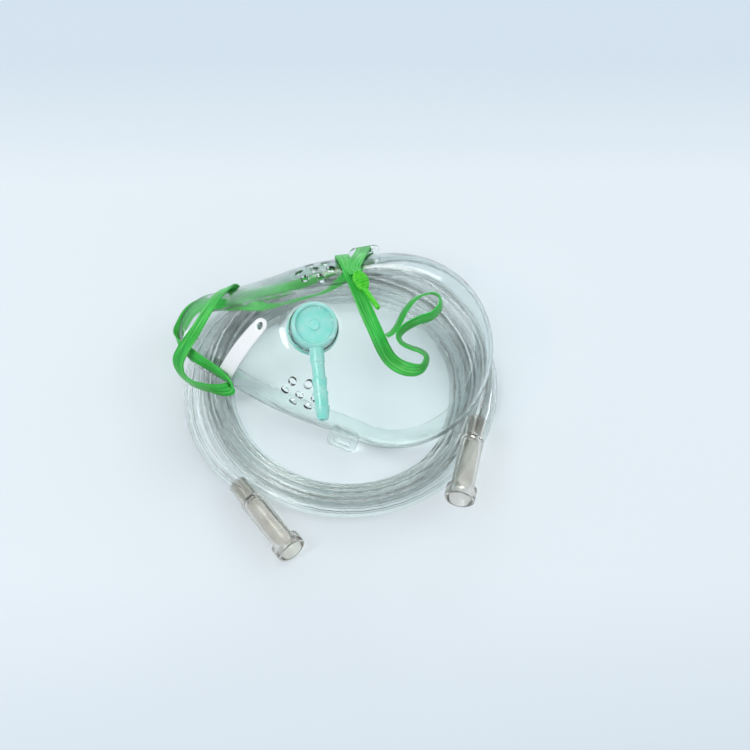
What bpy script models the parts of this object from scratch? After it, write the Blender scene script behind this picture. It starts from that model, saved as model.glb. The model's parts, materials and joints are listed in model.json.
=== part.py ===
# Oxygen face mask with its nose clip, head strap, swivel connector and coiled supply tubing.
# Units are metres, +Z is up. The mask lies rim down and leans towards -Y: its near rim stands on the
# surface inside the coil of tubing. The origin is on that surface, under the middle of the mask.

import math

import bmesh
import bpy
import numpy as np
from mathutils import Matrix, Vector
from mathutils.bvhtree import BVHTree

# General clearance between separate pieces
CLEARANCE = 0.0003

# Mask rim, seen from the front: a pear outline, nose at -u and chin at +u, reaches from the cheeks' middle
NOSE_REACH = 0.068
CHIN_REACH = 0.0730
CHIN_RADIUS = 0.0435
NOSE_RADIUS = 0.0185
SIDE_BULGE = 0.0024
WALL = 0.0012
FLANGE_WIDTH = 0.0085
FLANGE_LIFT = 0.0016
ROLL = 0.0016
NOSE_RAISE = 0.009
CHIN_RAISE = 0.009
LOWEST_U = 0.012
RIM_POINTS = 60

# Front of the mask: the round port that carries the swivel connector
PORT_U = -0.0035
PORT_HEIGHT = 0.0475
PORT_TILT = math.radians(9.0)
PORT_BORE = 0.0196
COLLAR_HEIGHT = 0.0065
COLLAR_FILLET = 0.003
CHEEK_RISE = 0.025
CHEEK_SWELL = 0.003
SHOULDER = 0.016
NOSE_FOOT_SHARE = 0.28
NOSE_CROWN_SHARE = 0.74
NOSE_CREST = 0.0045
DOME_STEPS = 10

# Vent holes, one round cluster in each cheek
VENT_DIAMETER = 0.0038
VENT_PITCH = 0.0072
VENT_U = -0.008
VENT_V = 0.0285
VENT_SIDES = 10

# Side ears that take the strap
EAR_U = 0.0105
EAR_HEIGHT = 0.0075
EAR_DROOP = math.radians(30.0)
EAR_LENGTH = 0.0135
EAR_REACH = 0.0072
EAR_THICKNESS = 0.0016
SLOT_LENGTH = 0.0080
SLOT_WIDTH = 0.0024
SLOT_MARGIN = 0.0017

# Aluminium nose clip, bent over the nose ridge and held by two moulded studs
CLIP_LENGTH = 0.042
CLIP_WIDTH = 0.0060
CLIP_THICKNESS = 0.0008
CLIP_U = 0.0308 - NOSE_REACH
CLIP_V = -0.0110
CLIP_SKEW = math.radians(42.0)
CLIP_STEPS = 22
CLIP_HOLE_INSET = 0.0036
STUD_DIAMETER = 0.0024
STUD_HEAD = 0.0040
STUD_HEAD_HEIGHT = 0.0008
STUD_ROOT = 0.0007

# Swivel connector: a round cap with a side spigot, kept in the port by a lip behind the collar
NECK_WALL = 0.0015
LIP_OVERHANG = 0.0012
LIP_THICKNESS = 0.0014
CAP_DIAMETER = 0.0208
CAP_HEIGHT = 0.0084
CAP_TAPER = 0.0005
CAP_EDGE = 0.0007
CAP_RIM = 0.0016
CAP_RECESS = 0.0021
CAP_ROOF = 0.0013
BOSS_DIAMETER = 0.0048
BOSS_HEIGHT = 0.0008
SPIGOT_HEIGHT = 0.0038
SPIGOT_DIAMETER = 0.0064
SPIGOT_STEM = 0.0056
SPIGOT_BORE = 0.0030
SPIGOT_SHOULDER = 0.0165
SPIGOT_REACH = 0.0420
SPIGOT_RISE = math.radians(5.0)
SPIGOT_TURN = math.radians(-78.0)
BARB_HEIGHT = 0.0006
BARB_PITCH = 0.0062
BARBS = 3
CONNECTOR_SIDES = 28

# Head strap, one flat elastic ribbon; a route row is a place on or beside the mask in the mask's own
# directions (u, v and height above the rim plane) and the roll of the ribbon away from lying flat
STRAP_WIDTH = 0.0064
STRAP_THICKNESS = 0.0009
STRAP_STEPS = 2
STRAP_ROUTE = (
    (0.0113, 0.0276, 0.0374, 0.0),
    (0.0092, 0.0303, 0.0354, 0.0),
    (0.0097, 0.0358, 0.0317, 0.0),
    (0.0102, 0.0402, 0.0218, 0.0),
    (0.0101, 0.0439, 0.0140, 0.0),
    (0.0098, 0.0447, 0.0090, 0.0),
    (0.0102, 0.0433, 0.0062, 0.0),
    (0.0105, 0.0419, 0.0020, 0.0),
    (0.0050, 0.0368, -0.0022, 0.0),
    (-0.0055, 0.0255, -0.0015, 0.0),
    (-0.0205, 0.0190, 0.0000, 0.0),
    (-0.0305, 0.0156, 0.0012, 0.0),
    (-0.0405, 0.0150, 0.0024, 0.0),
    (-0.0515, 0.0136, 0.0040, 0.0),
    (-0.0606, 0.0116, 0.0054, 0.0),
    (-0.0650, 0.0076, 0.0064, 0.0),
    (-0.0674, 0.0018, 0.0070, 0.0),
    (-0.0690, -0.0026, 0.0074, 0.0),
    (-0.0692, -0.0062, 0.0104, 0.0),
    (-0.0652, -0.0088, 0.0146, 0.0),
    (-0.0588, -0.0104, 0.0174, 0.0),
    (-0.0524, -0.0129, 0.0200, 0.0),
    (-0.0469, -0.0168, 0.0206, 0.0),
    (-0.0426, -0.0214, 0.0178, 0.0),
    (-0.0396, -0.0252, 0.0134, 15.0),
    (-0.0402, -0.0280, 0.0124, 50.0),
    (-0.0436, -0.0290, 0.0124, 60.0),
    (-0.0504, -0.0280, 0.0116, 45.0),
    (-0.0576, -0.0266, 0.0098, 30.0),
    (-0.0634, -0.0232, 0.0082, 20.0),
    (-0.0672, -0.0186, 0.0086, 10.0),
    (-0.0678, -0.0142, 0.0126, 0.0),
    (-0.0636, -0.0084, 0.0188, 0.0),
    (-0.0569, -0.0012, 0.0236, 0.0),
    (-0.0543, 0.0074, 0.0234, 0.0),
    (-0.0516, 0.0146, 0.0182, 0.0),
    (-0.0499, 0.0189, 0.0125, 0.0),
    (-0.0484, 0.0240, 0.0066, 0.0),
    (-0.0470, 0.0242, 0.0018, 0.0),
    (-0.0432, 0.0210, -0.0012, 0.0),
    (-0.0352, 0.0214, -0.0022, 0.0),
    (-0.0272, 0.0244, -0.0028, 0.0),
    (-0.0182, 0.0286, -0.0034, 0.0),
    (-0.0086, 0.0346, -0.0038, 0.0),
    (-0.0012, 0.0410, 0.0002, 0.0),
    (0.0002, 0.0420, 0.0060, 0.0),
    (0.0014, 0.0406, 0.0152, 0.0),
    (0.0027, 0.0368, 0.0252, 0.0),
    (0.0064, 0.0316, 0.0328, 0.0),
    (0.0099, 0.0254, 0.0370, 0.0),
    (0.0129, 0.0201, 0.0381, 0.0),
    (0.0175, 0.0115, 0.0386, 0.0),
    (0.0224, 0.0031, 0.0384, 0.0),
    (0.0273, -0.0052, 0.0378, 0.0),
    (0.0313, -0.0097, 0.0373, 0.0),
    (0.0364, -0.0121, 0.0364, 10.0),
    (0.0416, -0.0123, 0.0356, 30.0),
    (0.0452, -0.0104, 0.0360, 60.0),
    (0.0462, -0.0064, 0.0369, 80.0),
    (0.0436, -0.0042, 0.0375, 88.0),
    (0.0390, -0.0032, 0.0383, 88.0),
    (0.0348, -0.0016, 0.0390, 88.0),
    (0.0332, 0.0014, 0.0392, 88.0),
    (0.0355, 0.0052, 0.0387, 88.0),
    (0.0407, 0.0091, 0.0375, 88.0),
    (0.0464, 0.0122, 0.0359, 88.0),
    (0.0493, 0.0170, 0.0342, 88.0),
    (0.0486, 0.0212, 0.0336, 88.0),
    (0.0451, 0.0224, 0.0338, 88.0),
    (0.0412, 0.0209, 0.0352, 88.0),
    (0.0381, 0.0186, 0.0364, 88.0),
    (0.0346, 0.0128, 0.0381, 88.0),
    (0.0325, 0.0066, 0.0391, 88.0),
    (0.0302, 0.0024, 0.0397, 88.0),
    (0.0280, 0.0006, 0.0400, 85.0),
)

# Ribbed clip crimped on the strap's end: a flat oval head and a thin tail with a bead
END_CLIP_LENGTH = 0.0088
END_CLIP_WIDTH = 0.0070
END_CLIP_HEIGHT = 0.0034
END_CLIP_RIBS = 5
END_CLIP_RIB_HEIGHT = 0.0003
END_TAIL_LENGTH = 0.0120
END_TAIL_WIDTH = 0.0018
END_TAIL_BEAD = 0.0026

# Supply tubing: outside diameter, and the coil that it is wound into
TUBE_DIAMETER = 0.0055
COIL_MEAN_RADIUS = 0.0592
COIL_ROWS = 3
COIL_TOP_ROWS = 2
COIL_SIDES = 48
COIL_X = 0.0074
COIL_Y = -0.0032

# The ends of the tubing, as places on the surface that the coil lies on; each runs into a funnel
LEFT_END_ROUTE = ((-0.0628, -0.0132), (-0.0612, -0.0233), (-0.0569, -0.0347), (-0.0497, -0.0457))
RIGHT_END_ROUTE = ((0.0514, 0.0399), (0.0617, 0.0269), (0.0679, 0.0117), (0.0692, -0.0038),
                   (0.0677, -0.0168))

# Funnel connectors at both ends of the tubing: narrow end, and the direction of the open mouth
FUNNEL_LENGTH = 0.042
FUNNEL_SLEEVE = 0.0084
FUNNEL_SLEEVE_LENGTH = 0.009
FUNNEL_BODY = 0.0104
FUNNEL_COLLAR = 0.0136
FUNNEL_COLLAR_LENGTH = 0.006
FUNNEL_WALL = 0.0011
FUNNEL_EDGE = 0.0005
SOCKET_DEPTH = 0.010
FUNNEL_SIDES = 24
LEFT_FUNNEL_X = -0.0411
LEFT_FUNNEL_Y = -0.0559
LEFT_FUNNEL_TURN = math.radians(-54.2)
RIGHT_FUNNEL_X = 0.0649
RIGHT_FUNNEL_Y = -0.0281
RIGHT_FUNNEL_TURN = math.radians(-101.5)

# How the mask lies: leans towards -Y, nose towards -X
LEAN = math.radians(22.9)
PITCH = math.radians(-2.0)
YAW = math.radians(-8.0)
MASK_X = 0.0004
MASK_Y = 0.0102


def clear_scene():
    for item in list(bpy.data.objects):
        bpy.data.objects.remove(item, do_unlink=True)


def material(name, colour, roughness, metallic=0.0, transmission=0.0):
    made = bpy.data.materials.new(name)
    made.use_nodes = True
    shader = made.node_tree.nodes["Principled BSDF"]
    shader.inputs["Base Color"].default_value = (*colour, 1.0)
    shader.inputs["Roughness"].default_value = roughness
    shader.inputs["Metallic"].default_value = metallic
    shader.inputs["Transmission Weight"].default_value = transmission
    return made


def add_object(name, mesh, finish=None, place=None, sharp=35.0):
    item = bpy.data.objects.new(name, mesh)
    bpy.context.scene.collection.objects.link(item)
    if finish is not None:
        mesh.materials.append(finish)
    if place is not None:
        item.matrix_world = place
    mesh.shade_smooth()
    mesh.set_sharp_from_angle(angle=math.radians(sharp))
    return item


def hide_tool(item):
    item.hide_render = True
    item.display_type = "WIRE"


def cut(target, tool, operation):
    step = target.modifiers.new(tool.name, "BOOLEAN")
    step.operation = operation
    step.solver = "EXACT"
    step.object = tool
    hide_tool(tool)


def mesh_from_grid(name, rows, closed_rows):
    # rows are rings of points; every ring is closed, and with closed_rows the last meets the first
    shape = bmesh.new()
    rings = [[shape.verts.new(point) for point in row] for row in rows]
    count = len(rings[0])
    last = len(rings) if closed_rows else len(rings) - 1
    for low in range(last):
        lower = rings[low]
        upper = rings[(low + 1) % len(rings)]
        for step in range(count):
            after = (step + 1) % count
            shape.faces.new((lower[step], lower[after], upper[after], upper[step]))
    if not closed_rows:
        shape.faces.new(list(reversed(rings[0])))
        shape.faces.new(rings[-1])
    bmesh.ops.triangulate(shape, faces=shape.faces)
    bmesh.ops.recalc_face_normals(shape, faces=shape.faces)
    mesh = bpy.data.meshes.new(name)
    shape.to_mesh(mesh)
    shape.free()
    return mesh


def turned(name, profile, segments=24, ring=False):
    # a profile of (radius, height) pairs, spun about Z; ring profiles close on themselves
    rows = []
    for radius, height in profile:
        turn = [2.0 * math.pi * step / segments for step in range(segments)]
        rows.append([(radius * math.cos(a), radius * math.sin(a), height) for a in turn])
    return mesh_from_grid(name, rows, ring)


def mask_place():
    lean = Matrix.Rotation(LEAN, 4, "X")
    pitch = Matrix.Rotation(PITCH, 4, "Y")
    yaw = Matrix.Rotation(YAW, 4, "Z")
    turn = (yaw @ pitch @ lean).to_3x3()
    lowest = min((turn @ Vector(point)).z for line in skin_rows() for point in line)
    return Matrix.Translation((MASK_X, MASK_Y, -lowest)) @ turn.to_4x4()


def axis_place(point, direction, turn_from=(1.0, 0.0, 0.0)):
    # a frame at a point whose Z runs along a direction and whose X leans towards turn_from
    up = Vector(direction).normalized()
    side = Vector(turn_from) - up * up.dot(Vector(turn_from))
    side.normalize()
    other = up.cross(side)
    frame = Matrix((side, other, up)).transposed().to_4x4()
    return Matrix.Translation(point) @ frame


def rim_outline(count):
    # two arcs joined by tangents with a slight swell, stepped evenly from the chin end
    chin_u = CHIN_REACH - CHIN_RADIUS
    nose_u = NOSE_RADIUS - NOSE_REACH
    span = chin_u - nose_u
    open_angle = math.acos((CHIN_RADIUS - NOSE_RADIUS) / span)
    straight = math.sqrt(span ** 2 - (CHIN_RADIUS - NOSE_RADIUS) ** 2)
    chin_arc = CHIN_RADIUS * (math.pi - open_angle)
    nose_arc = NOSE_RADIUS * 2.0 * open_angle
    total = 2.0 * chin_arc + 2.0 * straight + nose_arc
    normal = (math.cos(math.pi - open_angle), math.sin(math.pi - open_angle))
    points = []
    for step in range(count):
        way = total * step / count
        flip = 1.0
        if way > total / 2.0:
            way = total - way
            flip = -1.0
        if way < chin_arc:
            angle = way / CHIN_RADIUS
            point = (chin_u + CHIN_RADIUS * math.cos(angle), CHIN_RADIUS * math.sin(angle))
        elif way < chin_arc + straight:
            share = (way - chin_arc) / straight
            radius = CHIN_RADIUS + (NOSE_RADIUS - CHIN_RADIUS) * share
            radius += SIDE_BULGE * 16.0 * (share * (1.0 - share)) ** 2
            centre = chin_u + (nose_u - chin_u) * share
            point = (centre + radius * normal[0], radius * normal[1])
        else:
            angle = math.pi - open_angle + (way - chin_arc - straight) / NOSE_RADIUS
            point = (nose_u + NOSE_RADIUS * math.cos(angle), NOSE_RADIUS * math.sin(angle))
        points.append((point[0], flip * point[1]))
    return np.array(points)


def rim_raise(u):
    # the nose and chin ends of the rim stand back from the face plane
    if u < LOWEST_U:
        return NOSE_RAISE * ((LOWEST_U - u) / (LOWEST_U + NOSE_REACH)) ** 2
    return CHIN_RAISE * ((u - LOWEST_U) / (CHIN_REACH - LOWEST_U)) ** 2


def port_frame():
    centre = np.array([PORT_U, 0.0, PORT_HEIGHT])
    axis = np.array([math.sin(PORT_TILT), 0.0, math.cos(PORT_TILT)])
    along = np.array([math.cos(PORT_TILT), 0.0, -math.sin(PORT_TILT)])
    across = np.array([0.0, 1.0, 0.0])
    return centre, axis, along, across


def collar_radius():
    return PORT_BORE / 2.0 + WALL


def skin_rows():
    # rings of the outer skin, from the inner edge of the flange to the top of the port collar
    outline = rim_outline(RIM_POINTS)
    before = np.roll(outline, 1, axis=0)
    after = np.roll(outline, -1, axis=0)
    tangent = after - before
    tangent /= np.linalg.norm(tangent, axis=1)[:, None]
    inward = np.column_stack((-tangent[:, 1], tangent[:, 0]))
    centre, axis, along, across = port_frame()
    up = np.array([0.0, 0.0, 1.0])
    lines = []
    for number, (u, v) in enumerate(outline):
        base = np.array([u, v, rim_raise(u)])
        inner = np.array([inward[number][0], inward[number][1], 0.0])
        line = [
            base + inner * FLANGE_WIDTH + up * FLANGE_LIFT,
            base + inner * FLANGE_WIDTH * 0.55 + up * FLANGE_LIFT * 0.25,
            base + inner * ROLL,
            base + inner * ROLL * 0.3 + up * ROLL * 0.3,
        ]
        foot = base + up * ROLL
        angle = math.atan2(v, u - PORT_U)
        radial = along * math.cos(angle) + across * math.sin(angle)
        nose = min(max((LOWEST_U - u) / (LOWEST_U + NOSE_REACH), 0.0), 1.0)
        nose = nose * nose * (3.0 - 2.0 * nose)
        crown = centre - axis * COLLAR_HEIGHT + radial * (collar_radius() + COLLAR_FILLET)
        ridge = crown - foot
        lift = (foot + up * CHEEK_RISE - inner * CHEEK_SWELL) * (1.0 - nose)
        lift += (foot + ridge * NOSE_FOOT_SHARE + up * NOSE_CREST) * nose
        lean = (crown + radial * SHOULDER) * (1.0 - nose)
        lean += (foot + ridge * NOSE_CROWN_SHARE + up * NOSE_CREST) * nose
        for step in range(DOME_STEPS + 1):
            t = step / DOME_STEPS
            line.append(
                foot * (1.0 - t) ** 3
                + lift * 3.0 * t * (1.0 - t) ** 2
                + lean * 3.0 * t ** 2 * (1.0 - t)
                + crown * t ** 3
            )
        rim = centre - axis * COLLAR_HEIGHT
        line.append(rim + radial * (collar_radius() + COLLAR_FILLET * 0.3) + axis * COLLAR_FILLET * 0.2)
        line.append(rim + radial * collar_radius() + axis * COLLAR_FILLET * 0.7)
        line.append(centre + radial * collar_radius())
        lines.append(line)
    return np.array(lines)


def skin_normals(lines):
    # outward normals of the skin, from its own grid
    around = np.roll(lines, -1, axis=0) - np.roll(lines, 1, axis=0)
    along = np.empty_like(lines)
    along[:, 1:-1] = lines[:, 2:] - lines[:, :-2]
    along[:, 0] = lines[:, 1] - lines[:, 0]
    along[:, -1] = lines[:, -1] - lines[:, -2]
    normal = np.cross(around, along)
    return normal / np.linalg.norm(normal, axis=2)[:, :, None]


def skin_tree(lines):
    # the outer skin as a surface that other pieces are laid on
    count, steps, _ = lines.shape
    points = [Vector(point) for line in lines for point in line]
    faces = []
    for row in range(count):
        beside = (row + 1) % count
        for step in range(steps - 1):
            faces.append((row * steps + step, beside * steps + step,
                          beside * steps + step + 1, row * steps + step + 1))
    return BVHTree.FromPolygons(points, faces)


def on_skin(tree, u, v):
    # the point and outward normal of the dome above a place in the rim plane
    point, normal, _, _ = tree.ray_cast(Vector((u, v, 2.0 * PORT_HEIGHT)), Vector((0.0, 0.0, -1.0)))
    if normal.z < 0.0:
        normal = -normal
    return point, normal


def clip_path(tree):
    # the bend of the nose clip: even steps along the dome, to both sides of the nose ridge
    fine = CLIP_LENGTH / 400.0
    line = Vector((math.sin(CLIP_SKEW), math.cos(CLIP_SKEW), 0.0))
    sides = []
    for direction in (-1.0, 1.0):
        point, normal = on_skin(tree, CLIP_U, CLIP_V)
        walked = 0.0
        reach = 0.0
        stations = [(point, normal, line * direction)]
        for number in range(1, CLIP_STEPS // 2 + 1):
            goal = CLIP_LENGTH / CLIP_STEPS * number
            while walked < goal:
                reach += direction * fine
                following, normal = on_skin(tree, CLIP_U + line.x * reach, CLIP_V + line.y * reach)
                walked += (following - point).length
                way = (following - point).normalized()
                point = following
            stations.append((point.copy(), normal.copy(), way.copy()))
        sides.append(stations)
    left = [(point, normal, -way) for point, normal, way in reversed(sides[0][1:])]
    return left + sides[1]


def smooth_normals(stations):
    softened = []
    for number, (point, normal, way) in enumerate(stations):
        low = max(number - 2, 0)
        high = min(number + 3, len(stations))
        mean = Vector((0.0, 0.0, 0.0))
        for other in stations[low:high]:
            mean += other[1]
        mean -= way * mean.dot(way)
        softened.append((point, mean.normalized(), way))
    return softened


def make_mask(place, finish):
    lines = skin_rows()
    normals = skin_normals(lines)
    inner = lines - normals * WALL
    tree = skin_tree(lines)
    outer_rows = [lines[:, step] for step in range(lines.shape[1])]
    inner_rows = [inner[:, step] for step in reversed(range(lines.shape[1]))]
    mesh = mesh_from_grid("mask_shell", outer_rows + inner_rows, True)
    shell = add_object("mask_shell", mesh, finish, place)
    return shell, tree


def ear_frame(side, tree):
    # on the middle of the cheek wall at the ear's height, X along the rim and Y outward
    outline = rim_outline(4 * RIM_POINTS)
    half = [point for point in outline if point[1] > 0.0]
    number = min(range(len(half)), key=lambda index: abs(half[index][0] - EAR_U))
    along = Vector((*(half[number - 1] - half[number + 1]), 0.0)).normalized()
    outward = Vector((-along.y, along.x, 0.0))
    height = EAR_HEIGHT + EAR_THICKNESS / 2.0
    start = Vector((*half[number], height)) + outward * EAR_REACH * 2.0
    wall, _, _, _ = tree.ray_cast(start, -outward)
    root = wall - outward * WALL / 2.0
    if side < 0.0:
        along = Vector((along.x, -along.y, 0.0))
        outward = Vector((outward.x, -outward.y, 0.0))
        root = Vector((root.x, -root.y, root.z))
    droop = outward * math.cos(EAR_DROOP) - Vector((0.0, 0.0, math.sin(EAR_DROOP)))
    frame = Matrix((along, droop, along.cross(droop) * side)).transposed().to_4x4()
    return Matrix.Translation(root) @ frame


def ear_block(name, frame):
    # a flat tab with rounded outer corners; its root is let into the cheek wall
    length = EAR_LENGTH / 2.0
    corner = EAR_REACH * 0.55
    corner_steps = 5
    outline = [(length, 0.0)]
    for turn in (0.0, 1.0):
        middle = (length - corner) * (1.0 - 2.0 * turn)
        for step in range(corner_steps + 1):
            angle = math.pi / 2.0 * (turn + step / corner_steps)
            outline.append((middle + corner * math.cos(angle), EAR_REACH - corner + corner * math.sin(angle)))
    outline.append((-length, 0.0))
    rows = []
    for height in (-EAR_THICKNESS / 2.0, EAR_THICKNESS / 2.0):
        rows.append([frame @ Vector((x, y, height)) for x, y in outline])
    return add_object(name, mesh_from_grid(name, rows, False))


def slot_block(name, frame):
    length = SLOT_LENGTH / 2.0
    outer = EAR_REACH - SLOT_MARGIN
    inner = outer - SLOT_WIDTH
    rows = []
    for height in (-EAR_THICKNESS, EAR_THICKNESS):
        rows.append([frame @ Vector((x, y, height))
                     for x, y in ((length, inner), (length, outer), (-length, outer), (-length, inner))])
    return add_object(name, mesh_from_grid(name, rows, False))


def vent_tools(name, side, tree):
    # seven round cutters on a hexagon, square to the cheek
    centre, normal = on_skin(tree, VENT_U, side * VENT_V)
    frame = axis_place(centre, normal)
    places = [(0.0, 0.0)]
    for step in range(6):
        angle = math.pi / 3.0 * step
        places.append((VENT_PITCH * math.cos(angle), VENT_PITCH * math.sin(angle)))
    shape = bmesh.new()
    for x, y in places:
        spot = frame @ Matrix.Translation((x, y, 0.0))
        bmesh.ops.create_cone(shape, cap_ends=True, segments=VENT_SIDES, radius1=VENT_DIAMETER / 2.0,
                              radius2=VENT_DIAMETER / 2.0, depth=0.016, matrix=spot)
    mesh = bpy.data.meshes.new(name)
    shape.to_mesh(mesh)
    shape.free()
    return add_object(name, mesh)


def clip_holes(stations):
    # the stations of the two holes, CLIP_HOLE_INSET in from the ends
    reach = CLIP_LENGTH / 2.0 - CLIP_HOLE_INSET
    number = int(round(reach / (CLIP_LENGTH / CLIP_STEPS)))
    middle = len(stations) // 2
    return [stations[middle - number], stations[middle + number]]


def stud(name, station):
    # a moulded post with a flattened head, through the hole of the clip
    point, normal, way = station
    post = STUD_DIAMETER / 2.0
    head = STUD_HEAD / 2.0
    under = CLEARANCE * 2.0 + CLIP_THICKNESS
    profile = [(post, -STUD_ROOT), (post, under), (head, under), (head, under + STUD_HEAD_HEIGHT * 0.5),
               (head * 0.7, under + STUD_HEAD_HEIGHT)]
    item = add_object(name, turned(name, profile, segments=12))
    item.matrix_world = axis_place(point, normal)
    return item


def make_clip(stations, place, finish):
    rows = []
    half = CLIP_WIDTH / 2.0
    total = len(stations)
    for number, (point, normal, way) in enumerate(stations):
        from_end = min(number, total - 1 - number) * CLIP_LENGTH / (total - 1)
        width = half
        if from_end < half:
            width = max(math.sqrt(half ** 2 - (half - from_end) ** 2), half * 0.35)
        side = normal.cross(way).normalized()
        low = point + normal * CLEARANCE
        high = low + normal * CLIP_THICKNESS
        rows.append([low - side * width, low + side * width, high + side * width, high - side * width])
    clip = add_object("nose_clip", mesh_from_grid("nose_clip", rows, False), finish, place)
    for number, station in enumerate(clip_holes(stations)):
        point, normal, way = station
        name = f"clip_hole_{number + 1}"
        radius = STUD_DIAMETER / 2.0 + CLEARANCE
        hole = turned(name, [(radius, -CLIP_THICKNESS), (radius, CLEARANCE + 2.0 * CLIP_THICKNESS)], 12)
        tool = add_object(name, hole)
        tool.matrix_world = place @ axis_place(point, normal)
        cut(clip, tool, "DIFFERENCE")
    return clip


def strap_stations(tree):
    # a smooth path through the route's rows, held off the skin by the ribbon's own size
    rows = [(Vector(row[:3]), math.radians(row[3])) for row in STRAP_ROUTE]
    points = smooth_route([row[0] for row in rows], STRAP_STEPS)
    rolls = []
    for number in range(len(rows) - 1):
        for step in range(STRAP_STEPS):
            share = step / STRAP_STEPS
            rolls.append(rows[number][1] * (1.0 - share) + rows[number + 1][1] * share)
    rolls.append(rows[-1][1])
    placed = []
    for point, roll in zip(points, rolls):
        near, face, _, _ = tree.find_nearest(point)
        outward = point - near
        if outward.dot(face) < 0.0:
            outward = -outward
        if outward.length < CLEARANCE or outward.length > STRAP_WIDTH * 2.0:
            outward = face
        outward = outward.normalized()
        half = STRAP_THICKNESS / 2.0 * math.cos(roll) + STRAP_WIDTH / 2.0 * math.sin(roll)
        least = half + CLEARANCE * 2.0
        gap = (point - near).dot(outward)
        if gap < least:
            point = near + outward * least
        placed.append((point, outward, roll))
    return placed


def ribbon_rows(placed, width, thickness):
    # four corners at each place on the path; the face normals are evened out along the ribbon
    count = len(placed)
    rows = []
    for number, (point, _, roll) in enumerate(placed):
        before = placed[max(number - 1, 0)][0]
        after = placed[min(number + 1, count - 1)][0]
        along = (after - before).normalized()
        mean = Vector((0.0, 0.0, 0.0))
        for other in placed[max(number - 3, 0):number + 4]:
            mean += other[1]
        mean -= along * mean.dot(along)
        face = Matrix.Rotation(roll, 3, along) @ mean.normalized()
        side = face.cross(along)
        across = side * width / 2.0
        up = face * thickness / 2.0
        rows.append([point - across - up, point + across - up, point + across + up, point - across + up])
    return rows


def make_strap(tree, place, finish):
    rows = ribbon_rows(strap_stations(tree), STRAP_WIDTH, STRAP_THICKNESS)
    return add_object("head_strap", mesh_from_grid("head_strap", rows, False), finish, place)


def make_end_clip(tree, place, finish):
    # an oval block whose top is ribbed across, drawn out behind into a thin tail with a bead
    placed = strap_stations(tree)
    start, normal, _ = placed[0]
    along = (placed[0][0] - placed[STRAP_STEPS][0]).normalized()
    frame = axis_place(start - normal * (STRAP_THICKNESS / 2.0 + CLEARANCE), normal, along)
    head = END_CLIP_LENGTH
    rows = []
    steps = END_CLIP_RIBS * 4
    for step in range(steps + 1):
        x = CLEARANCE + head * step / steps
        swell = math.sin(math.pi * (0.12 + 0.76 * step / steps))
        width = END_CLIP_WIDTH / 2.0 * swell ** 0.6
        rib = END_CLIP_RIB_HEIGHT * math.cos(2.0 * math.pi * step / 4.0)
        height = END_CLIP_HEIGHT * (0.55 + 0.45 * swell) + rib
        rows.append(clip_section(x, width, height))
    tail = END_TAIL_WIDTH / 2.0
    bead = END_TAIL_BEAD / 2.0
    reach = CLEARANCE + head
    for share, width in ((0.04, tail), (0.35, tail), (0.78, tail), (0.84, bead), (0.95, bead), (1.0, tail)):
        rows.append(clip_section(reach + END_TAIL_LENGTH * share, width, width * 2.0))
    rings = [[frame @ point for point in row] for row in rows]
    mesh = mesh_from_grid("strap_end_clip", rings, False)
    return add_object("strap_end_clip", mesh, finish, place)


def clip_section(x, width, height):
    # a rounded section standing on the skin side, eight points around
    points = []
    for step in range(10):
        angle = 2.0 * math.pi * (step + 0.5) / 10.0
        points.append(Vector((x, width * math.cos(angle), height / 2.0 + height / 2.0 * math.sin(angle))))
    return points


def connector_place(place):
    centre, axis, along, _ = port_frame()
    return place @ axis_place(Vector(centre), Vector(axis), Vector(along))


def spigot_profile():
    # radius against distance from the cap's axis, with the barbs that grip the tubing
    root = CAP_DIAMETER / 2.0 - CAP_RIM
    stem = SPIGOT_STEM / 2.0
    profile = [
        (SPIGOT_DIAMETER / 2.0, root),
        (SPIGOT_DIAMETER / 2.0, SPIGOT_SHOULDER),
        (stem, SPIGOT_SHOULDER + SPIGOT_DIAMETER / 2.0 - stem),
    ]
    for number in range(BARBS):
        start = SPIGOT_REACH - BARB_PITCH * (BARBS - number)
        profile.append((stem, start))
        profile.append((stem + BARB_HEIGHT, start + BARB_HEIGHT * 0.5))
        profile.append((stem + BARB_HEIGHT, start + BARB_HEIGHT))
    profile.append((stem - BARB_HEIGHT, SPIGOT_REACH))
    return profile


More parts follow.
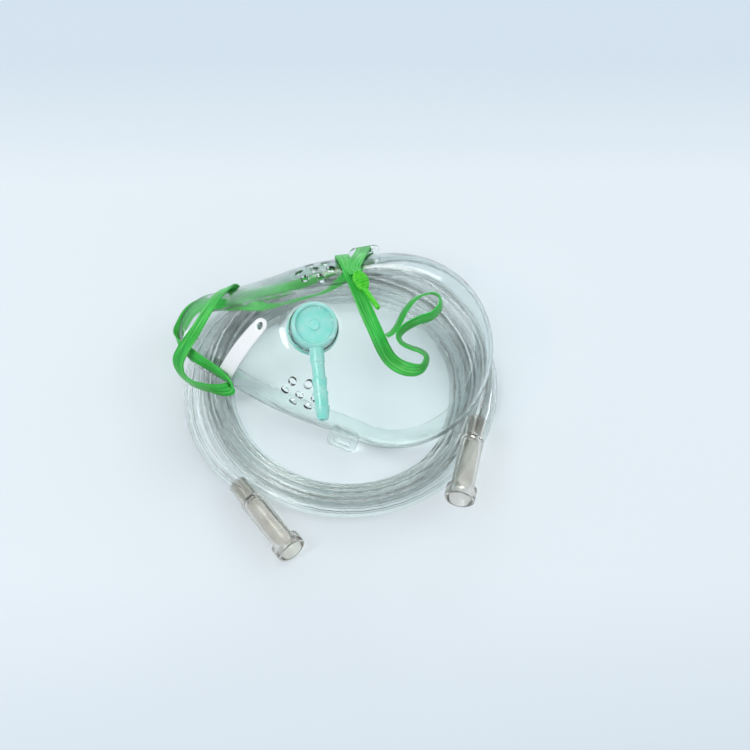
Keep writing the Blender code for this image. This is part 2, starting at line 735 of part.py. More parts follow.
def make_connector(place, finish):
    # a turned cup, open towards the wearer, whose recessed cap closes the front
    neck = PORT_BORE / 2.0 - CLEARANCE
    cap = CAP_DIAMETER / 2.0
    lip_top = -COLLAR_HEIGHT - WALL - CLEARANCE
    chamber = neck - NECK_WALL
    floor = CAP_HEIGHT - CAP_RECESS
    boss = BOSS_DIAMETER / 2.0
    top = cap - CAP_TAPER
    profile = [
        (chamber, floor - CAP_ROOF),
        (chamber, lip_top - LIP_THICKNESS),
        (neck + LIP_OVERHANG * 0.5, lip_top - LIP_THICKNESS),
        (neck + LIP_OVERHANG, lip_top - LIP_THICKNESS * 0.4),
        (neck + LIP_OVERHANG, lip_top),
        (neck, lip_top),
        (neck, CLEARANCE),
        (cap, CLEARANCE),
        (top, CAP_HEIGHT - CAP_EDGE),
        (top - CAP_EDGE, CAP_HEIGHT),
        (top - CAP_RIM, CAP_HEIGHT),
        (top - CAP_RIM, floor),
        (boss, floor),
        (boss, floor + BOSS_HEIGHT),
    ]
    body = add_object("swivel_connector", turned("swivel_connector", profile, CONNECTOR_SIDES), finish,
                      connector_place(place))
    outward = Vector((math.cos(SPIGOT_TURN), math.sin(SPIGOT_TURN), math.sin(SPIGOT_RISE)))
    frame = connector_place(place) @ axis_place(Vector((0.0, 0.0, SPIGOT_HEIGHT)), outward, (0.0, 0.0, 1.0))
    spigot = add_object("spigot", turned("spigot", spigot_profile(), 16), None, frame)
    cut(body, spigot, "UNION")
    bore = SPIGOT_BORE / 2.0
    drill = turned("spigot_bore", [(bore, chamber - NECK_WALL / 2.0), (bore, SPIGOT_REACH + SPIGOT_BORE)], 12)
    cut(body, add_object("spigot_bore", drill, None, frame), "DIFFERENCE")
    return body


def coil_section():
    # outline of the bundle: three turns side by side with two more in the hollows between them
    tube = TUBE_DIAMETER / 2.0
    rise = TUBE_DIAMETER * math.sqrt(3.0) / 2.0
    wide = (COIL_ROWS - 1) * tube
    narrow = (COIL_TOP_ROWS - 1) * tube
    section = []
    corners = ((wide, tube, -90.0, 30.0), (narrow, tube + rise, 30.0, 90.0),
               (-narrow, tube + rise, 90.0, 150.0), (-wide, tube, 150.0, 270.0))
    for offset, height, start, stop in corners:
        steps = max(int((stop - start) / 40.0), 2)
        for step in range(steps + 1):
            angle = math.radians(start + (stop - start) * step / steps)
            out = COIL_MEAN_RADIUS + offset + tube * math.cos(angle)
            section.append((out, height + tube * math.sin(angle)))
    return section


def coil_height():
    return TUBE_DIAMETER * (1.0 + math.sqrt(3.0) / 2.0)


def make_coil(finish):
    mesh = turned("tubing_coil", coil_section(), COIL_SIDES, ring=True)
    return add_object("tubing_coil", mesh, finish, Matrix.Translation((COIL_X, COIL_Y, 0.0)))


def funnel_place(x, y, height, turn):
    # the narrow end's face, with Z running towards the open mouth
    return axis_place(Vector((x, y, height)), (math.cos(turn), math.sin(turn), 0.0), (0.0, 0.0, 1.0))


def make_funnel(name, place, finish):
    # one turned sleeve: a socket for the tubing, a smooth barrel and a collared mouth, bored right through
    sleeve = FUNNEL_SLEEVE / 2.0
    body = FUNNEL_BODY / 2.0
    collar = FUNNEL_COLLAR / 2.0
    socket = TUBE_DIAMETER / 2.0 + CLEARANCE
    throat = TUBE_DIAMETER / 2.0 - FUNNEL_WALL
    shoulder = FUNNEL_LENGTH - FUNNEL_COLLAR_LENGTH
    profile = [
        (sleeve - FUNNEL_EDGE, 0.0),
        (sleeve, FUNNEL_EDGE),
        (sleeve, FUNNEL_SLEEVE_LENGTH),
        (body, FUNNEL_SLEEVE_LENGTH + FUNNEL_WALL * 2.0),
        (body, shoulder - FUNNEL_EDGE),
        (collar - FUNNEL_EDGE, shoulder),
        (collar, shoulder + FUNNEL_EDGE),
        (collar, FUNNEL_LENGTH - FUNNEL_EDGE),
        (collar - FUNNEL_EDGE, FUNNEL_LENGTH),
        (collar - FUNNEL_WALL, FUNNEL_LENGTH),
        (body - FUNNEL_WALL, shoulder),
        (body - FUNNEL_WALL * 1.6, SOCKET_DEPTH + FUNNEL_WALL * 3.0),
        (throat, SOCKET_DEPTH),
        (socket, SOCKET_DEPTH),
        (socket, 0.0),
    ]
    return add_object(name, turned(name, profile, FUNNEL_SIDES, ring=True), finish, place)


def smooth_route(points, steps):
    # even points on a smooth curve through the route's own points
    knots = [points[0] * 2.0 - points[1]] + list(points) + [points[-1] * 2.0 - points[-2]]
    line = []
    for number in range(1, len(knots) - 2):
        a, b, c, d = knots[number - 1:number + 3]
        for step in range(steps):
            t = step / steps
            line.append((b * 2.0 + (c - a) * t + (a * 2.0 - b * 5.0 + c * 4.0 - d) * t ** 2
                         + (b * 3.0 - a - c * 3.0 + d) * t ** 3) * 0.5)
    line.append(points[-1].copy())
    return line


def make_tube(name, route, finish):
    curve = bpy.data.curves.new(name, "CURVE")
    curve.dimensions = "3D"
    curve.bevel_depth = TUBE_DIAMETER / 2.0
    curve.bevel_resolution = 2
    curve.use_fill_caps = True
    spline = curve.splines.new("POLY")
    spline.points.add(len(route) - 1)
    for point, place in zip(spline.points, route):
        point.co = (*place, 1.0)
    tube = bpy.data.objects.new(name, curve)
    bpy.context.scene.collection.objects.link(tube)
    curve.materials.append(finish)
    return tube


def tube_into(funnel, route):
    # the route, carried on along the funnel's axis to the floor of its socket
    along = funnel.to_3x3() @ Vector((0.0, 0.0, 1.0))
    mouth = funnel.translation
    return route + [mouth, mouth + along * (SOCKET_DEPTH - CLEARANCE)]


def main():
    clear_scene()
    clear_vinyl = material("clear_vinyl", (0.86, 0.93, 0.91), 0.12, transmission=0.9)
    aluminium = material("aluminium", (0.90, 0.91, 0.92), 0.35, metallic=0.9)
    turquoise = material("turquoise_plastic", (0.18, 0.78, 0.66), 0.25)
    green = material("green_elastic", (0.10, 0.55, 0.16), 0.55)
    bright_green = material("bright_green_plastic", (0.25, 0.85, 0.05), 0.35)
    clear_tubing = material("clear_tubing", (0.88, 0.91, 0.92), 0.10, transmission=0.9)
    smoky = material("smoky_vinyl", (0.62, 0.63, 0.60), 0.15, transmission=0.7)
    place = mask_place()
    shell, tree = make_mask(place, clear_vinyl)
    stations = smooth_normals(clip_path(tree))
    for number, side in enumerate((-1.0, 1.0)):
        frame = ear_frame(side, tree)
        ear = ear_block(f"ear_{number + 1}", frame)
        ear.matrix_world = place
        slot = slot_block(f"slot_{number + 1}", frame)
        slot.matrix_world = place
        cut(ear, slot, "DIFFERENCE")
        cut(shell, ear, "UNION")
        vents = vent_tools(f"vents_{number + 1}", side, tree)
        vents.matrix_world = place
        cut(shell, vents, "DIFFERENCE")
    for number, station in enumerate(clip_holes(stations)):
        post = stud(f"stud_{number + 1}", station)
        post.matrix_world = place @ post.matrix_world
        cut(shell, post, "UNION")
    make_clip(stations, place, aluminium)
    make_strap(tree, place, green)
    make_end_clip(tree, place, bright_green)
    make_connector(place, turquoise)
    make_coil(clear_tubing)
    left = funnel_place(LEFT_FUNNEL_X, LEFT_FUNNEL_Y, FUNNEL_COLLAR / 2.0, LEFT_FUNNEL_TURN)
    make_funnel("left_funnel_connector", left, smoky)
    low = TUBE_DIAMETER / 2.0
    left_route = [Vector((x, y, low)) for x, y in LEFT_END_ROUTE]
    make_tube("tubing_left_end", smooth_route(tube_into(left, left_route), 1), clear_tubing)
    high = coil_height() + CLEARANCE
    right = funnel_place(RIGHT_FUNNEL_X, RIGHT_FUNNEL_Y, high + FUNNEL_BODY / 2.0, RIGHT_FUNNEL_TURN)
    make_funnel("right_funnel_connector", right, smoky)
    right_route = [Vector((x, y, high + low)) for x, y in RIGHT_END_ROUTE]
    make_tube("tubing_right_end", smooth_route(tube_into(right, right_route), 1), clear_tubing)


main()
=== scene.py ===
import json
import math

import bmesh
import bpy
from mathutils import Matrix, Vector
from mathutils.bvhtree import BVHTree

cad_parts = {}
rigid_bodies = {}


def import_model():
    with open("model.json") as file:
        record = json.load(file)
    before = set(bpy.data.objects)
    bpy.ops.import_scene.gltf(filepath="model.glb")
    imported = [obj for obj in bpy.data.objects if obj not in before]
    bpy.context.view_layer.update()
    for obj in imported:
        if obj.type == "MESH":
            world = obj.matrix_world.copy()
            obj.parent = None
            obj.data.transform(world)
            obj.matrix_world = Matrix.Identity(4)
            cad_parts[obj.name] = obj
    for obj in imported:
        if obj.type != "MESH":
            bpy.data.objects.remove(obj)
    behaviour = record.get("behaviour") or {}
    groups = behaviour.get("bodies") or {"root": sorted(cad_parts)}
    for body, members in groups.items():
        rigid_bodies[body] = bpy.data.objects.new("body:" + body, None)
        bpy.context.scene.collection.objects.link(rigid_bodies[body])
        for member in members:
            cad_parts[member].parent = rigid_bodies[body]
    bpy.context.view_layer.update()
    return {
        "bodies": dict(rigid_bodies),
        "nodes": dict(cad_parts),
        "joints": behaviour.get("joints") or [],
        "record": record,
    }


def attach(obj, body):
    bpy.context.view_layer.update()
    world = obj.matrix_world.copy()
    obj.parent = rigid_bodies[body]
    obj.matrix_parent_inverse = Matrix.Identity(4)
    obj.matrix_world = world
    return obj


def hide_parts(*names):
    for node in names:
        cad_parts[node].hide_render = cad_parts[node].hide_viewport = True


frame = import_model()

scene = bpy.context.scene


def mm(value):
    return value / 1000.0


def rgb(code):
    # an sRGB hex colour as linear numbers
    parts = [int(code[i:i + 2], 16) / 255.0 for i in (1, 3, 5)]
    return tuple(p / 12.92 if p <= 0.04045 else ((p + 0.055) / 1.055) ** 2.4 for p in parts) + (1.0,)


def addNode(tree, kind, inputs=None, **settings):
    node = tree.nodes.new("ShaderNode" + kind)
    for key, value in settings.items():
        setattr(node, key, value)
    for key, value in (inputs or {}).items():
        if isinstance(value, bpy.types.NodeSocket):
            tree.links.new(value, node.inputs[key])
        else:
            node.inputs[key].default_value = value
    return node


def startMaterial(name):
    made = bpy.data.materials.new(name)
    made.use_nodes = True
    made.node_tree.nodes.clear()
    return made, made.node_tree


def ramp(tree, fac, stops):
    node = addNode(tree, "ValToRGB", {"Fac": fac})
    band = node.color_ramp
    while len(band.elements) < len(stops):
        band.elements.new(0.5)
    for element, (place, colour) in zip(band.elements, stops):
        element.position = place
        element.color = colour
    return node.outputs["Color"]


def grey(value):
    return (value, value, value, 1.0)


def closeMaterial(made, tree, shader, lightThrough=0.0, shade="#ffffff"):
    # clear pieces let light through, so their shadow is a pale one
    out = addNode(tree, "OutputMaterial")
    surface = shader.outputs[0]
    if lightThrough > 0.0:
        ray = addNode(tree, "LightPath")
        share = addNode(tree, "Math", {0: ray.outputs["Is Shadow Ray"], 1: lightThrough},
                        operation="MULTIPLY")
        clear = addNode(tree, "BsdfTransparent", {"Color": rgb(shade)})
        mix = addNode(tree, "MixShader", {0: share.outputs[0], 1: surface, 2: clear.outputs[0]})
        surface = mix.outputs[0]
    tree.links.new(surface, out.inputs["Surface"])
    return made


# Camera: the photograph's angle, long lens; the picture is 337.5 mm wide, 0.45 mm a pixel
view = {"wide": 0.3375, "far": 1.7, "elevation": math.radians(58.0), "lookAt": (0.01965, 0.00252, 0.00358),
        "sensor": 36.0, "clipEnd": 20.0}
lookAt = Vector(view["lookAt"])
back = Vector((0.0, -math.cos(view["elevation"]), math.sin(view["elevation"])))
cameraData = bpy.data.cameras.new("camera")
cameraData.sensor_width = view["sensor"]
cameraData.lens = view["sensor"] * view["far"] / view["wide"]
cameraData.clip_end = view["clipEnd"]
camera = bpy.data.objects.new("camera", cameraData)
scene.collection.objects.link(camera)
camera.location = lookAt + back * view["far"]
camera.rotation_euler = (math.radians(90.0) - view["elevation"], 0.0, 0.0)
scene.camera = camera
scene.view_settings.view_transform = "Standard"


def meshObject(name, mesh, finish, sharp=40.0):
    item = bpy.data.objects.new(name, mesh)
    scene.collection.objects.link(item)
    if finish is not None:
        mesh.materials.append(finish)
    mesh.shade_smooth()
    mesh.set_sharp_from_angle(angle=math.radians(sharp))
    return item


def gridMesh(name, rows, closedRows=False, unit=1000.0):
    # rings of points, closed on themselves or capped; unit turns their lengths to the UV map's millimetres
    shape = bmesh.new()
    rings = [[shape.verts.new(point) for point in row] for row in rows]
    count = len(rings[0])
    last = len(rings) if closedRows else len(rings) - 1
    layer = shape.loops.layers.uv.new("map")
    along = [0.0]
    for low in range(len(rows)):
        following = rows[(low + 1) % len(rows)]
        along.append(along[-1] + (Vector(following[0]) - Vector(rows[low][0])).length * unit)
    around = [0.0]
    for step in range(count):
        following = rows[0][(step + 1) % count]
        around.append(around[-1] + (Vector(following) - Vector(rows[0][step])).length * unit)
    for low in range(last):
        lower = rings[low]
        upper = rings[(low + 1) % len(rings)]
        for step in range(count):
            after = (step + 1) % count
            face = shape.faces.new((lower[step], lower[after], upper[after], upper[step]))
            spots = ((low, step), (low, step + 1), (low + 1, step + 1), (low + 1, step))
            for loop, (row, spot) in zip(face.loops, spots):
                loop[layer].uv = (along[row], around[spot])
    if not closedRows:
        shape.faces.new(list(reversed(rings[0])))
        shape.faces.new(rings[-1])
    bmesh.ops.recalc_face_normals(shape, faces=shape.faces)
    mesh = bpy.data.meshes.new(name)
    shape.to_mesh(mesh)
    shape.free()
    return mesh


def lathe(name, profile, segments, ring=False):
    # a profile of (radius, height) in millimetres, spun once round Z; its UV map is millimetres up and around
    shape = bmesh.new()
    places = [shape.verts.new((radius, 0.0, height)) for radius, height in profile]
    pairs = list(zip(places, places[1:] + places[:1])) if ring else list(zip(places, places[1:]))
    edges = [shape.edges.new(pair) for pair in pairs]
    bmesh.ops.spin(shape, geom=places + edges, axis=(0.0, 0.0, 1.0), cent=(0.0, 0.0, 0.0), steps=segments,
                   angle=2.0 * math.pi, use_merge=True)
    bmesh.ops.remove_doubles(shape, verts=shape.verts, dist=0.0005)
    layer = shape.loops.layers.uv.new("map")
    reach = max(radius for radius, _ in profile)
    for face in shape.faces:
        middle = face.calc_center_median()
        facing = math.atan2(middle.y, middle.x)
        for loop in face.loops:
            turn = (math.atan2(loop.vert.co.y, loop.vert.co.x) - facing + math.pi) % (2.0 * math.pi) - math.pi
            loop[layer].uv = (loop.vert.co.z, (facing + turn) * reach)
    if not ring:
        bmesh.ops.holes_fill(shape, edges=[edge for edge in shape.edges if edge.is_boundary])
    bmesh.ops.recalc_face_normals(shape, faces=shape.faces)
    mesh = bpy.data.meshes.new(name)
    shape.to_mesh(mesh)
    shape.free()
    return mesh


def smoothRoute(points, steps):
    # a smooth curve through every point
    knots = [points[0] * 2.0 - points[1]] + list(points) + [points[-1] * 2.0 - points[-2]]
    line = []
    for number in range(1, len(knots) - 2):
        a, b, c, d = knots[number - 1:number + 3]
        for step in range(steps):
            t = step / steps
            line.append((b * 2.0 + (c - a) * t + (a * 2.0 - b * 5.0 + c * 4.0 - d) * t ** 2
                         + (b * 3.0 - a - c * 3.0 + d) * t ** 3) * 0.5)
    line.append(points[-1].copy())
    return line


def evenRoute(points, gap):
    # the same path with even steps
    fine = smoothRoute(points, 12)
    out = [fine[0]]
    walked = 0.0
    for before, after in zip(fine, fine[1:]):
        walked += (after - before).length
        if walked >= gap:
            out.append(after)
            walked = 0.0
    if (out[-1] - fine[-1]).length > gap * 0.3:
        out.append(fine[-1])
    return out


def sweep(points, outline):
    # an outline of (side, up) places carried along a path without twisting
    rows = []
    side = None
    for number, point in enumerate(points):
        along = (points[min(number + 1, len(points) - 1)] - points[max(number - 1, 0)]).normalized()
        if side is None:
            side = along.cross(Vector((0.0, 0.0, 1.0))).normalized()
        side = (side - along * side.dot(along)).normalized()
        up = side.cross(along)
        rows.append([point + side * x + up * y for x, y in outline])
    return rows


def axisPlace(point, direction, turnFrom=(1.0, 0.0, 0.0)):
    # a place whose Z runs along the direction and whose X leans towards turnFrom
    up = Vector(direction).normalized()
    side = Vector(turnFrom) - up * up.dot(Vector(turnFrom))
    side.normalize()
    other = up.cross(side)
    return Matrix.Translation(point) @ Matrix((side, other, up)).transposed().to_4x4()


def applied(item):
    # the item's mesh with its modifiers worked in, at the world's origin
    graph = bpy.context.evaluated_depsgraph_get()
    mesh = bpy.data.meshes.new_from_object(item.evaluated_get(graph))
    mesh.transform(item.matrix_world)
    name = item.name
    bpy.data.objects.remove(item, do_unlink=True)
    mesh.shade_smooth()
    made = bpy.data.objects.new(name, mesh)
    scene.collection.objects.link(made)
    return made


def cut(target, tool, operation):
    # a Boolean that applied() works in later
    step = target.modifiers.new(tool.name, "BOOLEAN")
    step.operation = operation
    step.solver = "EXACT"
    step.object = tool


print("camera and helpers ready")

# Supply tubing: one length, wound clockwise into the ring, with both ends led out to the funnels
tube = {"wide": 5.5, "coilAt": (7.4, -3.2), "coilFrom": 188.0, "coilStep": 12, "step": 3.6, "layerGap": 0.3,
        "bore": 1.30, "lobe": 0.48, "lobes": 5.0, "sides": 20}
funnel = {"leftAt": (-41.1, -55.9, 6.8), "leftWay": math.radians(-54.2), "rightAt": (64.9, -28.1),
          "rightWay": math.radians(-101.5), "barrel": 5.2, "halfGrip": 4.5, "grip": 9.5, "sides": 72}
leftEndRoute = ((-49.7, -45.7), (-56.9, -34.7), (-61.2, -23.3))  # from the left funnel to the coil
rightEndRoute = ((51.4, 39.9), (61.7, 26.9), (67.9, 11.7), (69.2, -3.8), (67.7, -16.8))  # over the coil
# (degrees travelled, radius, height) where the turns change place in the ring
coilPlaces = [(0, 70.7, 2.75), (20, 70.2, 2.75), (70, 64.7, 2.75), (380, 64.7, 2.75), (430, 59.2, 2.75),
              (740, 59.2, 2.75), (790, 53.7, 2.75), (1100, 53.7, 2.75), (1150, 48.4, 2.75),
              (1270, 48.4, 2.75), (1335, 56.45, 7.5), (1640, 56.45, 7.5), (1690, 61.95, 7.5),
              (1890, 61.95, 7.6), (1937, 61.6, 13.1)]

tubeWide = mm(tube["wide"])
coilCentre = Vector((mm(tube["coilAt"][0]), mm(tube["coilAt"][1]), 0.0))
layerHigh = tubeWide * (1.0 + math.sqrt(3.0) / 2.0)  # the upper turns lie in the lower ones' grooves


def funnelPlace(x, y, z, way):
    return axisPlace(Vector((x, y, z)), (math.cos(way), math.sin(way), 0.0), (0.0, 0.0, 1.0))


leftFunnelPlace = funnelPlace(*(mm(value) for value in funnel["leftAt"]), funnel["leftWay"])
rightFunnelPlace = funnelPlace(mm(funnel["rightAt"][0]), mm(funnel["rightAt"][1]),
                               layerHigh + mm(tube["layerGap"]) + mm(funnel["barrel"]), funnel["rightWay"])


def coilPoint(degrees):
    radius, height = coilPlaces[-1][1:]
    for (s0, r0, z0), (s1, r1, z1) in zip(coilPlaces, coilPlaces[1:]):
        if s0 <= degrees <= s1:
            t = (degrees - s0) / (s1 - s0)
            t = t * t * (3.0 - 2.0 * t)
            radius = r0 + (r1 - r0) * t
            height = z0 + (z1 - z0) * t
            break
    angle = math.radians(tube["coilFrom"] - degrees)
    # hand-wound turns wander a little
    wander = 0.16 * math.sin(math.radians(degrees) * 1.7) + 0.12 * math.sin(math.radians(degrees) * 2.9 + 1.0)
    return coilCentre + Vector((mm(radius + wander) * math.cos(angle), mm(radius + wander) * math.sin(angle),
                                mm(height)))


def tubeRoute():
    leftAlong = leftFunnelPlace.to_3x3() @ Vector((0.0, 0.0, 1.0))
    leftMouth = leftFunnelPlace.translation
    rightAlong = rightFunnelPlace.to_3x3() @ Vector((0.0, 0.0, 1.0))
    rightMouth = rightFunnelPlace.translation
    low = tubeWide / 2.0
    deep, half = mm(funnel["grip"]), mm(funnel["halfGrip"])
    points = [leftMouth + leftAlong * deep, leftMouth + leftAlong * half, leftMouth.copy()]
    for x, y in leftEndRoute:
        points.append(Vector((mm(x), mm(y), low)))
    for degrees in range(0, coilPlaces[-1][0], tube["coilStep"]):
        points.append(coilPoint(degrees))
    high = layerHigh + mm(tube["layerGap"]) + low
    for x, y in rightEndRoute:
        points.append(Vector((mm(x), mm(y), high)))
    points += [rightMouth.copy(), rightMouth + rightAlong * half, rightMouth + rightAlong * deep]
    return evenRoute(points, mm(tube["step"]))


def circle(radius, count):
    return [(radius * math.cos(2 * math.pi * k / count), radius * math.sin(2 * math.pi * k / count))
            for k in range(count)]


def starOutline(count):
    # the bore of kink-resistant tubing: five rounded lobes
    places = []
    for step in range(count):
        angle = 2.0 * math.pi * step / count
        radius = mm(tube["bore"] + tube["lobe"] * math.cos(tube["lobes"] * angle))
        places.append((radius * math.cos(angle), radius * math.sin(angle)))
    return places


def clearTubeMaterial():
    # clear vinyl tubing: bright edges, faint grey body, fine lengthwise lines from the die
    made, tree = startMaterial("clear_tubing_look")
    uv = addNode(tree, "UVMap", uv_map="map")
    parts = addNode(tree, "SeparateXYZ", {0: uv.outputs[0]})
    lines = addNode(tree, "CombineXYZ", {"X": parts.outputs["Y"]})
    noise = addNode(tree, "TexNoise", {"Vector": lines.outputs[0], "Scale": 2.2, "Detail": 2.0})
    bump = addNode(tree, "Bump", {"Height": noise.outputs[0], "Strength": 0.25, "Distance": mm(0.15)})
    rough = ramp(tree, noise.outputs[0], [(0.3, grey(0.05)), (0.75, grey(0.18))])
    shader = addNode(tree, "BsdfPrincipled", {"Base Color": rgb("#f8faf9"), "Roughness": rough, "IOR": 1.33,
                                              "Transmission Weight": 1.0, "Normal": bump.outputs[0]})
    return closeMaterial(made, tree, shader, 0.96, "#f9fbfb")


route = tubeRoute()
outerRows = sweep(route, circle(tubeWide / 2.0, tube["sides"]))
boreRows = sweep(route, starOutline(tube["sides"]))[::2]
tubing = meshObject("supply_tubing", gridMesh("supply_tubing", outerRows + boreRows[::-1], True),
                    clearTubeMaterial(), 60.0)
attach(tubing, "mask")
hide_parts("tubing_coil", "tubing_left_end", "tubing_right_end")


def funnelMaterial():
    # smoky clear vinyl, moulded: cloudier in places about 8 mm across, with faint flow lines along the barrel
    made, tree = startMaterial("smoky_vinyl_look")
    place = addNode(tree, "TexCoord")
    cloud = addNode(tree, "TexNoise", {"Vector": place.outputs["Object"], "Scale": 120.0, "Detail": 3.0})
    uv = addNode(tree, "UVMap", uv_map="map")
    flow = addNode(tree, "Mapping", {"Vector": uv.outputs[0], "Scale": (0.03, 0.5, 1.0)})
    ribs = addNode(tree, "TexNoise", {"Vector": flow.outputs[0], "Scale": 1.0, "Detail": 2.0})
    tint = ramp(tree, cloud.outputs[0], [(0.35, rgb("#e3dfd9")), (0.7, rgb("#f3f1ec"))])
    rough = ramp(tree, cloud.outputs[0], [(0.3, grey(0.06)), (0.75, grey(0.2))])
    bump = addNode(tree, "Bump", {"Height": ribs.outputs[0], "Strength": 0.3, "Distance": mm(0.15)})
    shader = addNode(tree, "BsdfPrincipled", {"Base Color": tint, "Roughness": rough, "IOR": 1.4,
                                              "Transmission Weight": 0.97, "Normal": bump.outputs[0]})
    return closeMaterial(made, tree, shader, 0.88, "#f0f1ee")


def makeFunnel(name, place):
    # one turned sleeve: a socket for the tubing, a barrel and a collared mouth, bored right through
    profile = [(3.9, 0.0), (4.08, 0.12), (4.2, 0.4), (4.2, 8.8), (4.3, 9.2), (5.08, 10.9), (5.2, 11.4),
               (5.2, 34.9), (5.35, 35.3), (6.4, 35.85), (6.7, 36.05), (6.8, 36.5), (6.8, 41.4),
               (6.68, 41.8), (6.4, 42.0), (5.85, 42.0), (5.65, 41.8), (4.25, 36.2), (4.1, 35.6),
               (3.44, 13.3), (3.0, 11.6), (1.65, 10.0), (3.05, 10.0), (3.05, 0.25), (3.2, 0.0)]
    item = meshObject(name, lathe(name, profile, funnel["sides"], ring=True), smokyLook, 35.0)
    item.data.transform(Matrix.Scale(0.001, 4))
    item.data.transform(place)
    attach(item, "mask")
    return item


smokyLook = funnelMaterial()
leftFunnel = makeFunnel("left_funnel", leftFunnelPlace)
rightFunnel = makeFunnel("right_funnel", rightFunnelPlace)
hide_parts("left_funnel_connector")
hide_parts("right_funnel_connector")
print("funnels made")

# Mask shell: the same pear-shaped moulding as the CAD node, drawn finer, in millimetres until it is placed
lie = {"at": (0.4, 10.2), "turn": -8.0, "pitch": -2.0, "lean": 22.9}
maskPlace = Matrix.Translation((mm(lie["at"][0]), mm(lie["at"][1]), 0.0))
for degrees, axisName in ((lie["turn"], "Z"), (lie["pitch"], "Y"), (lie["lean"], "X")):
    maskPlace = maskPlace @ Matrix.Rotation(math.radians(degrees), 4, axisName)
shell = {"noseEnd": 68.0, "chinEnd": 73.0, "chin": 43.5, "nose": 18.5, "bulge": 2.4, "wall": 1.2,
         "flange": 8.5, "lift": 1.6, "roll": 1.6, "noseRaise": 9.0, "chinRaise": 9.0, "lowest": 12.0,
         "portU": -3.5, "portHigh": 47.5, "tilt": math.radians(9.0), "bore": 19.6, "collarHigh": 6.5,
         "fillet": 3.0, "cheek": 25.0, "swell": 3.0, "shoulder": 16.0, "foot": 0.28, "crown": 0.74,
         "crest": 4.5, "around": 180, "domeSteps": 30}
ears = {"at": 10.5, "high": 8.3, "clear": 14.4, "sink": 0.6, "droop": math.radians(30.0), "halfLong": 6.75,
        "root": -2.6, "reach": 7.2, "corner": 2.6, "halfThick": 0.8}
slots = {"halfLong": 4.0, "low": 3.1, "high": 5.5, "corner": 0.9, "halfDeep": 2.0}
vents = {"u": -8.0, "v": 28.5, "pitch": 7.2, "radius": 1.9, "sides": 32, "deep": 16.0}


def rimOutline(count):
    # two arcs joined by slightly swollen tangents, stepped evenly from the chin end
    chinU = shell["chinEnd"] - shell["chin"]
    noseU = shell["nose"] - shell["noseEnd"]
    span = chinU - noseU
    openAngle = math.acos((shell["chin"] - shell["nose"]) / span)
    straight = math.sqrt(span ** 2 - (shell["chin"] - shell["nose"]) ** 2)
    chinArc = shell["chin"] * (math.pi - openAngle)
    total = 2.0 * chinArc + 2.0 * straight + shell["nose"] * 2.0 * openAngle
    normal = (math.cos(math.pi - openAngle), math.sin(math.pi - openAngle))
    points = []
    for step in range(count):
        way = total * step / count
        flip = 1.0
        if way > total / 2.0:
            way = total - way
            flip = -1.0
        if way < chinArc:
            angle = way / shell["chin"]
            point = (chinU + shell["chin"] * math.cos(angle), shell["chin"] * math.sin(angle))
        elif way < chinArc + straight:
            share = (way - chinArc) / straight
            radius = shell["chin"] + (shell["nose"] - shell["chin"]) * share
            radius += shell["bulge"] * 16.0 * (share * (1.0 - share)) ** 2
            centre = chinU + (noseU - chinU) * share
            point = (centre + radius * normal[0], radius * normal[1])
        else:
            angle = math.pi - openAngle + (way - chinArc - straight) / shell["nose"]
            point = (noseU + shell["nose"] * math.cos(angle), shell["nose"] * math.sin(angle))
        points.append((point[0], flip * point[1]))
    return points


def rimRaise(u):
    # the rim rises from its lowest place towards both ends
    if u < shell["lowest"]:
        return shell["noseRaise"] * ((shell["lowest"] - u) / (shell["lowest"] + shell["noseEnd"])) ** 2
    return shell["chinRaise"] * ((u - shell["lowest"]) / (shell["chinEnd"] - shell["lowest"])) ** 2


def portFrame():
    tilt = shell["tilt"]
    centre = Vector((shell["portU"], 0.0, shell["portHigh"]))
    axis = Vector((math.sin(tilt), 0.0, math.cos(tilt)))
    along = Vector((math.cos(tilt), 0.0, -math.sin(tilt)))
    return centre, axis, along, Vector((0.0, 1.0, 0.0))


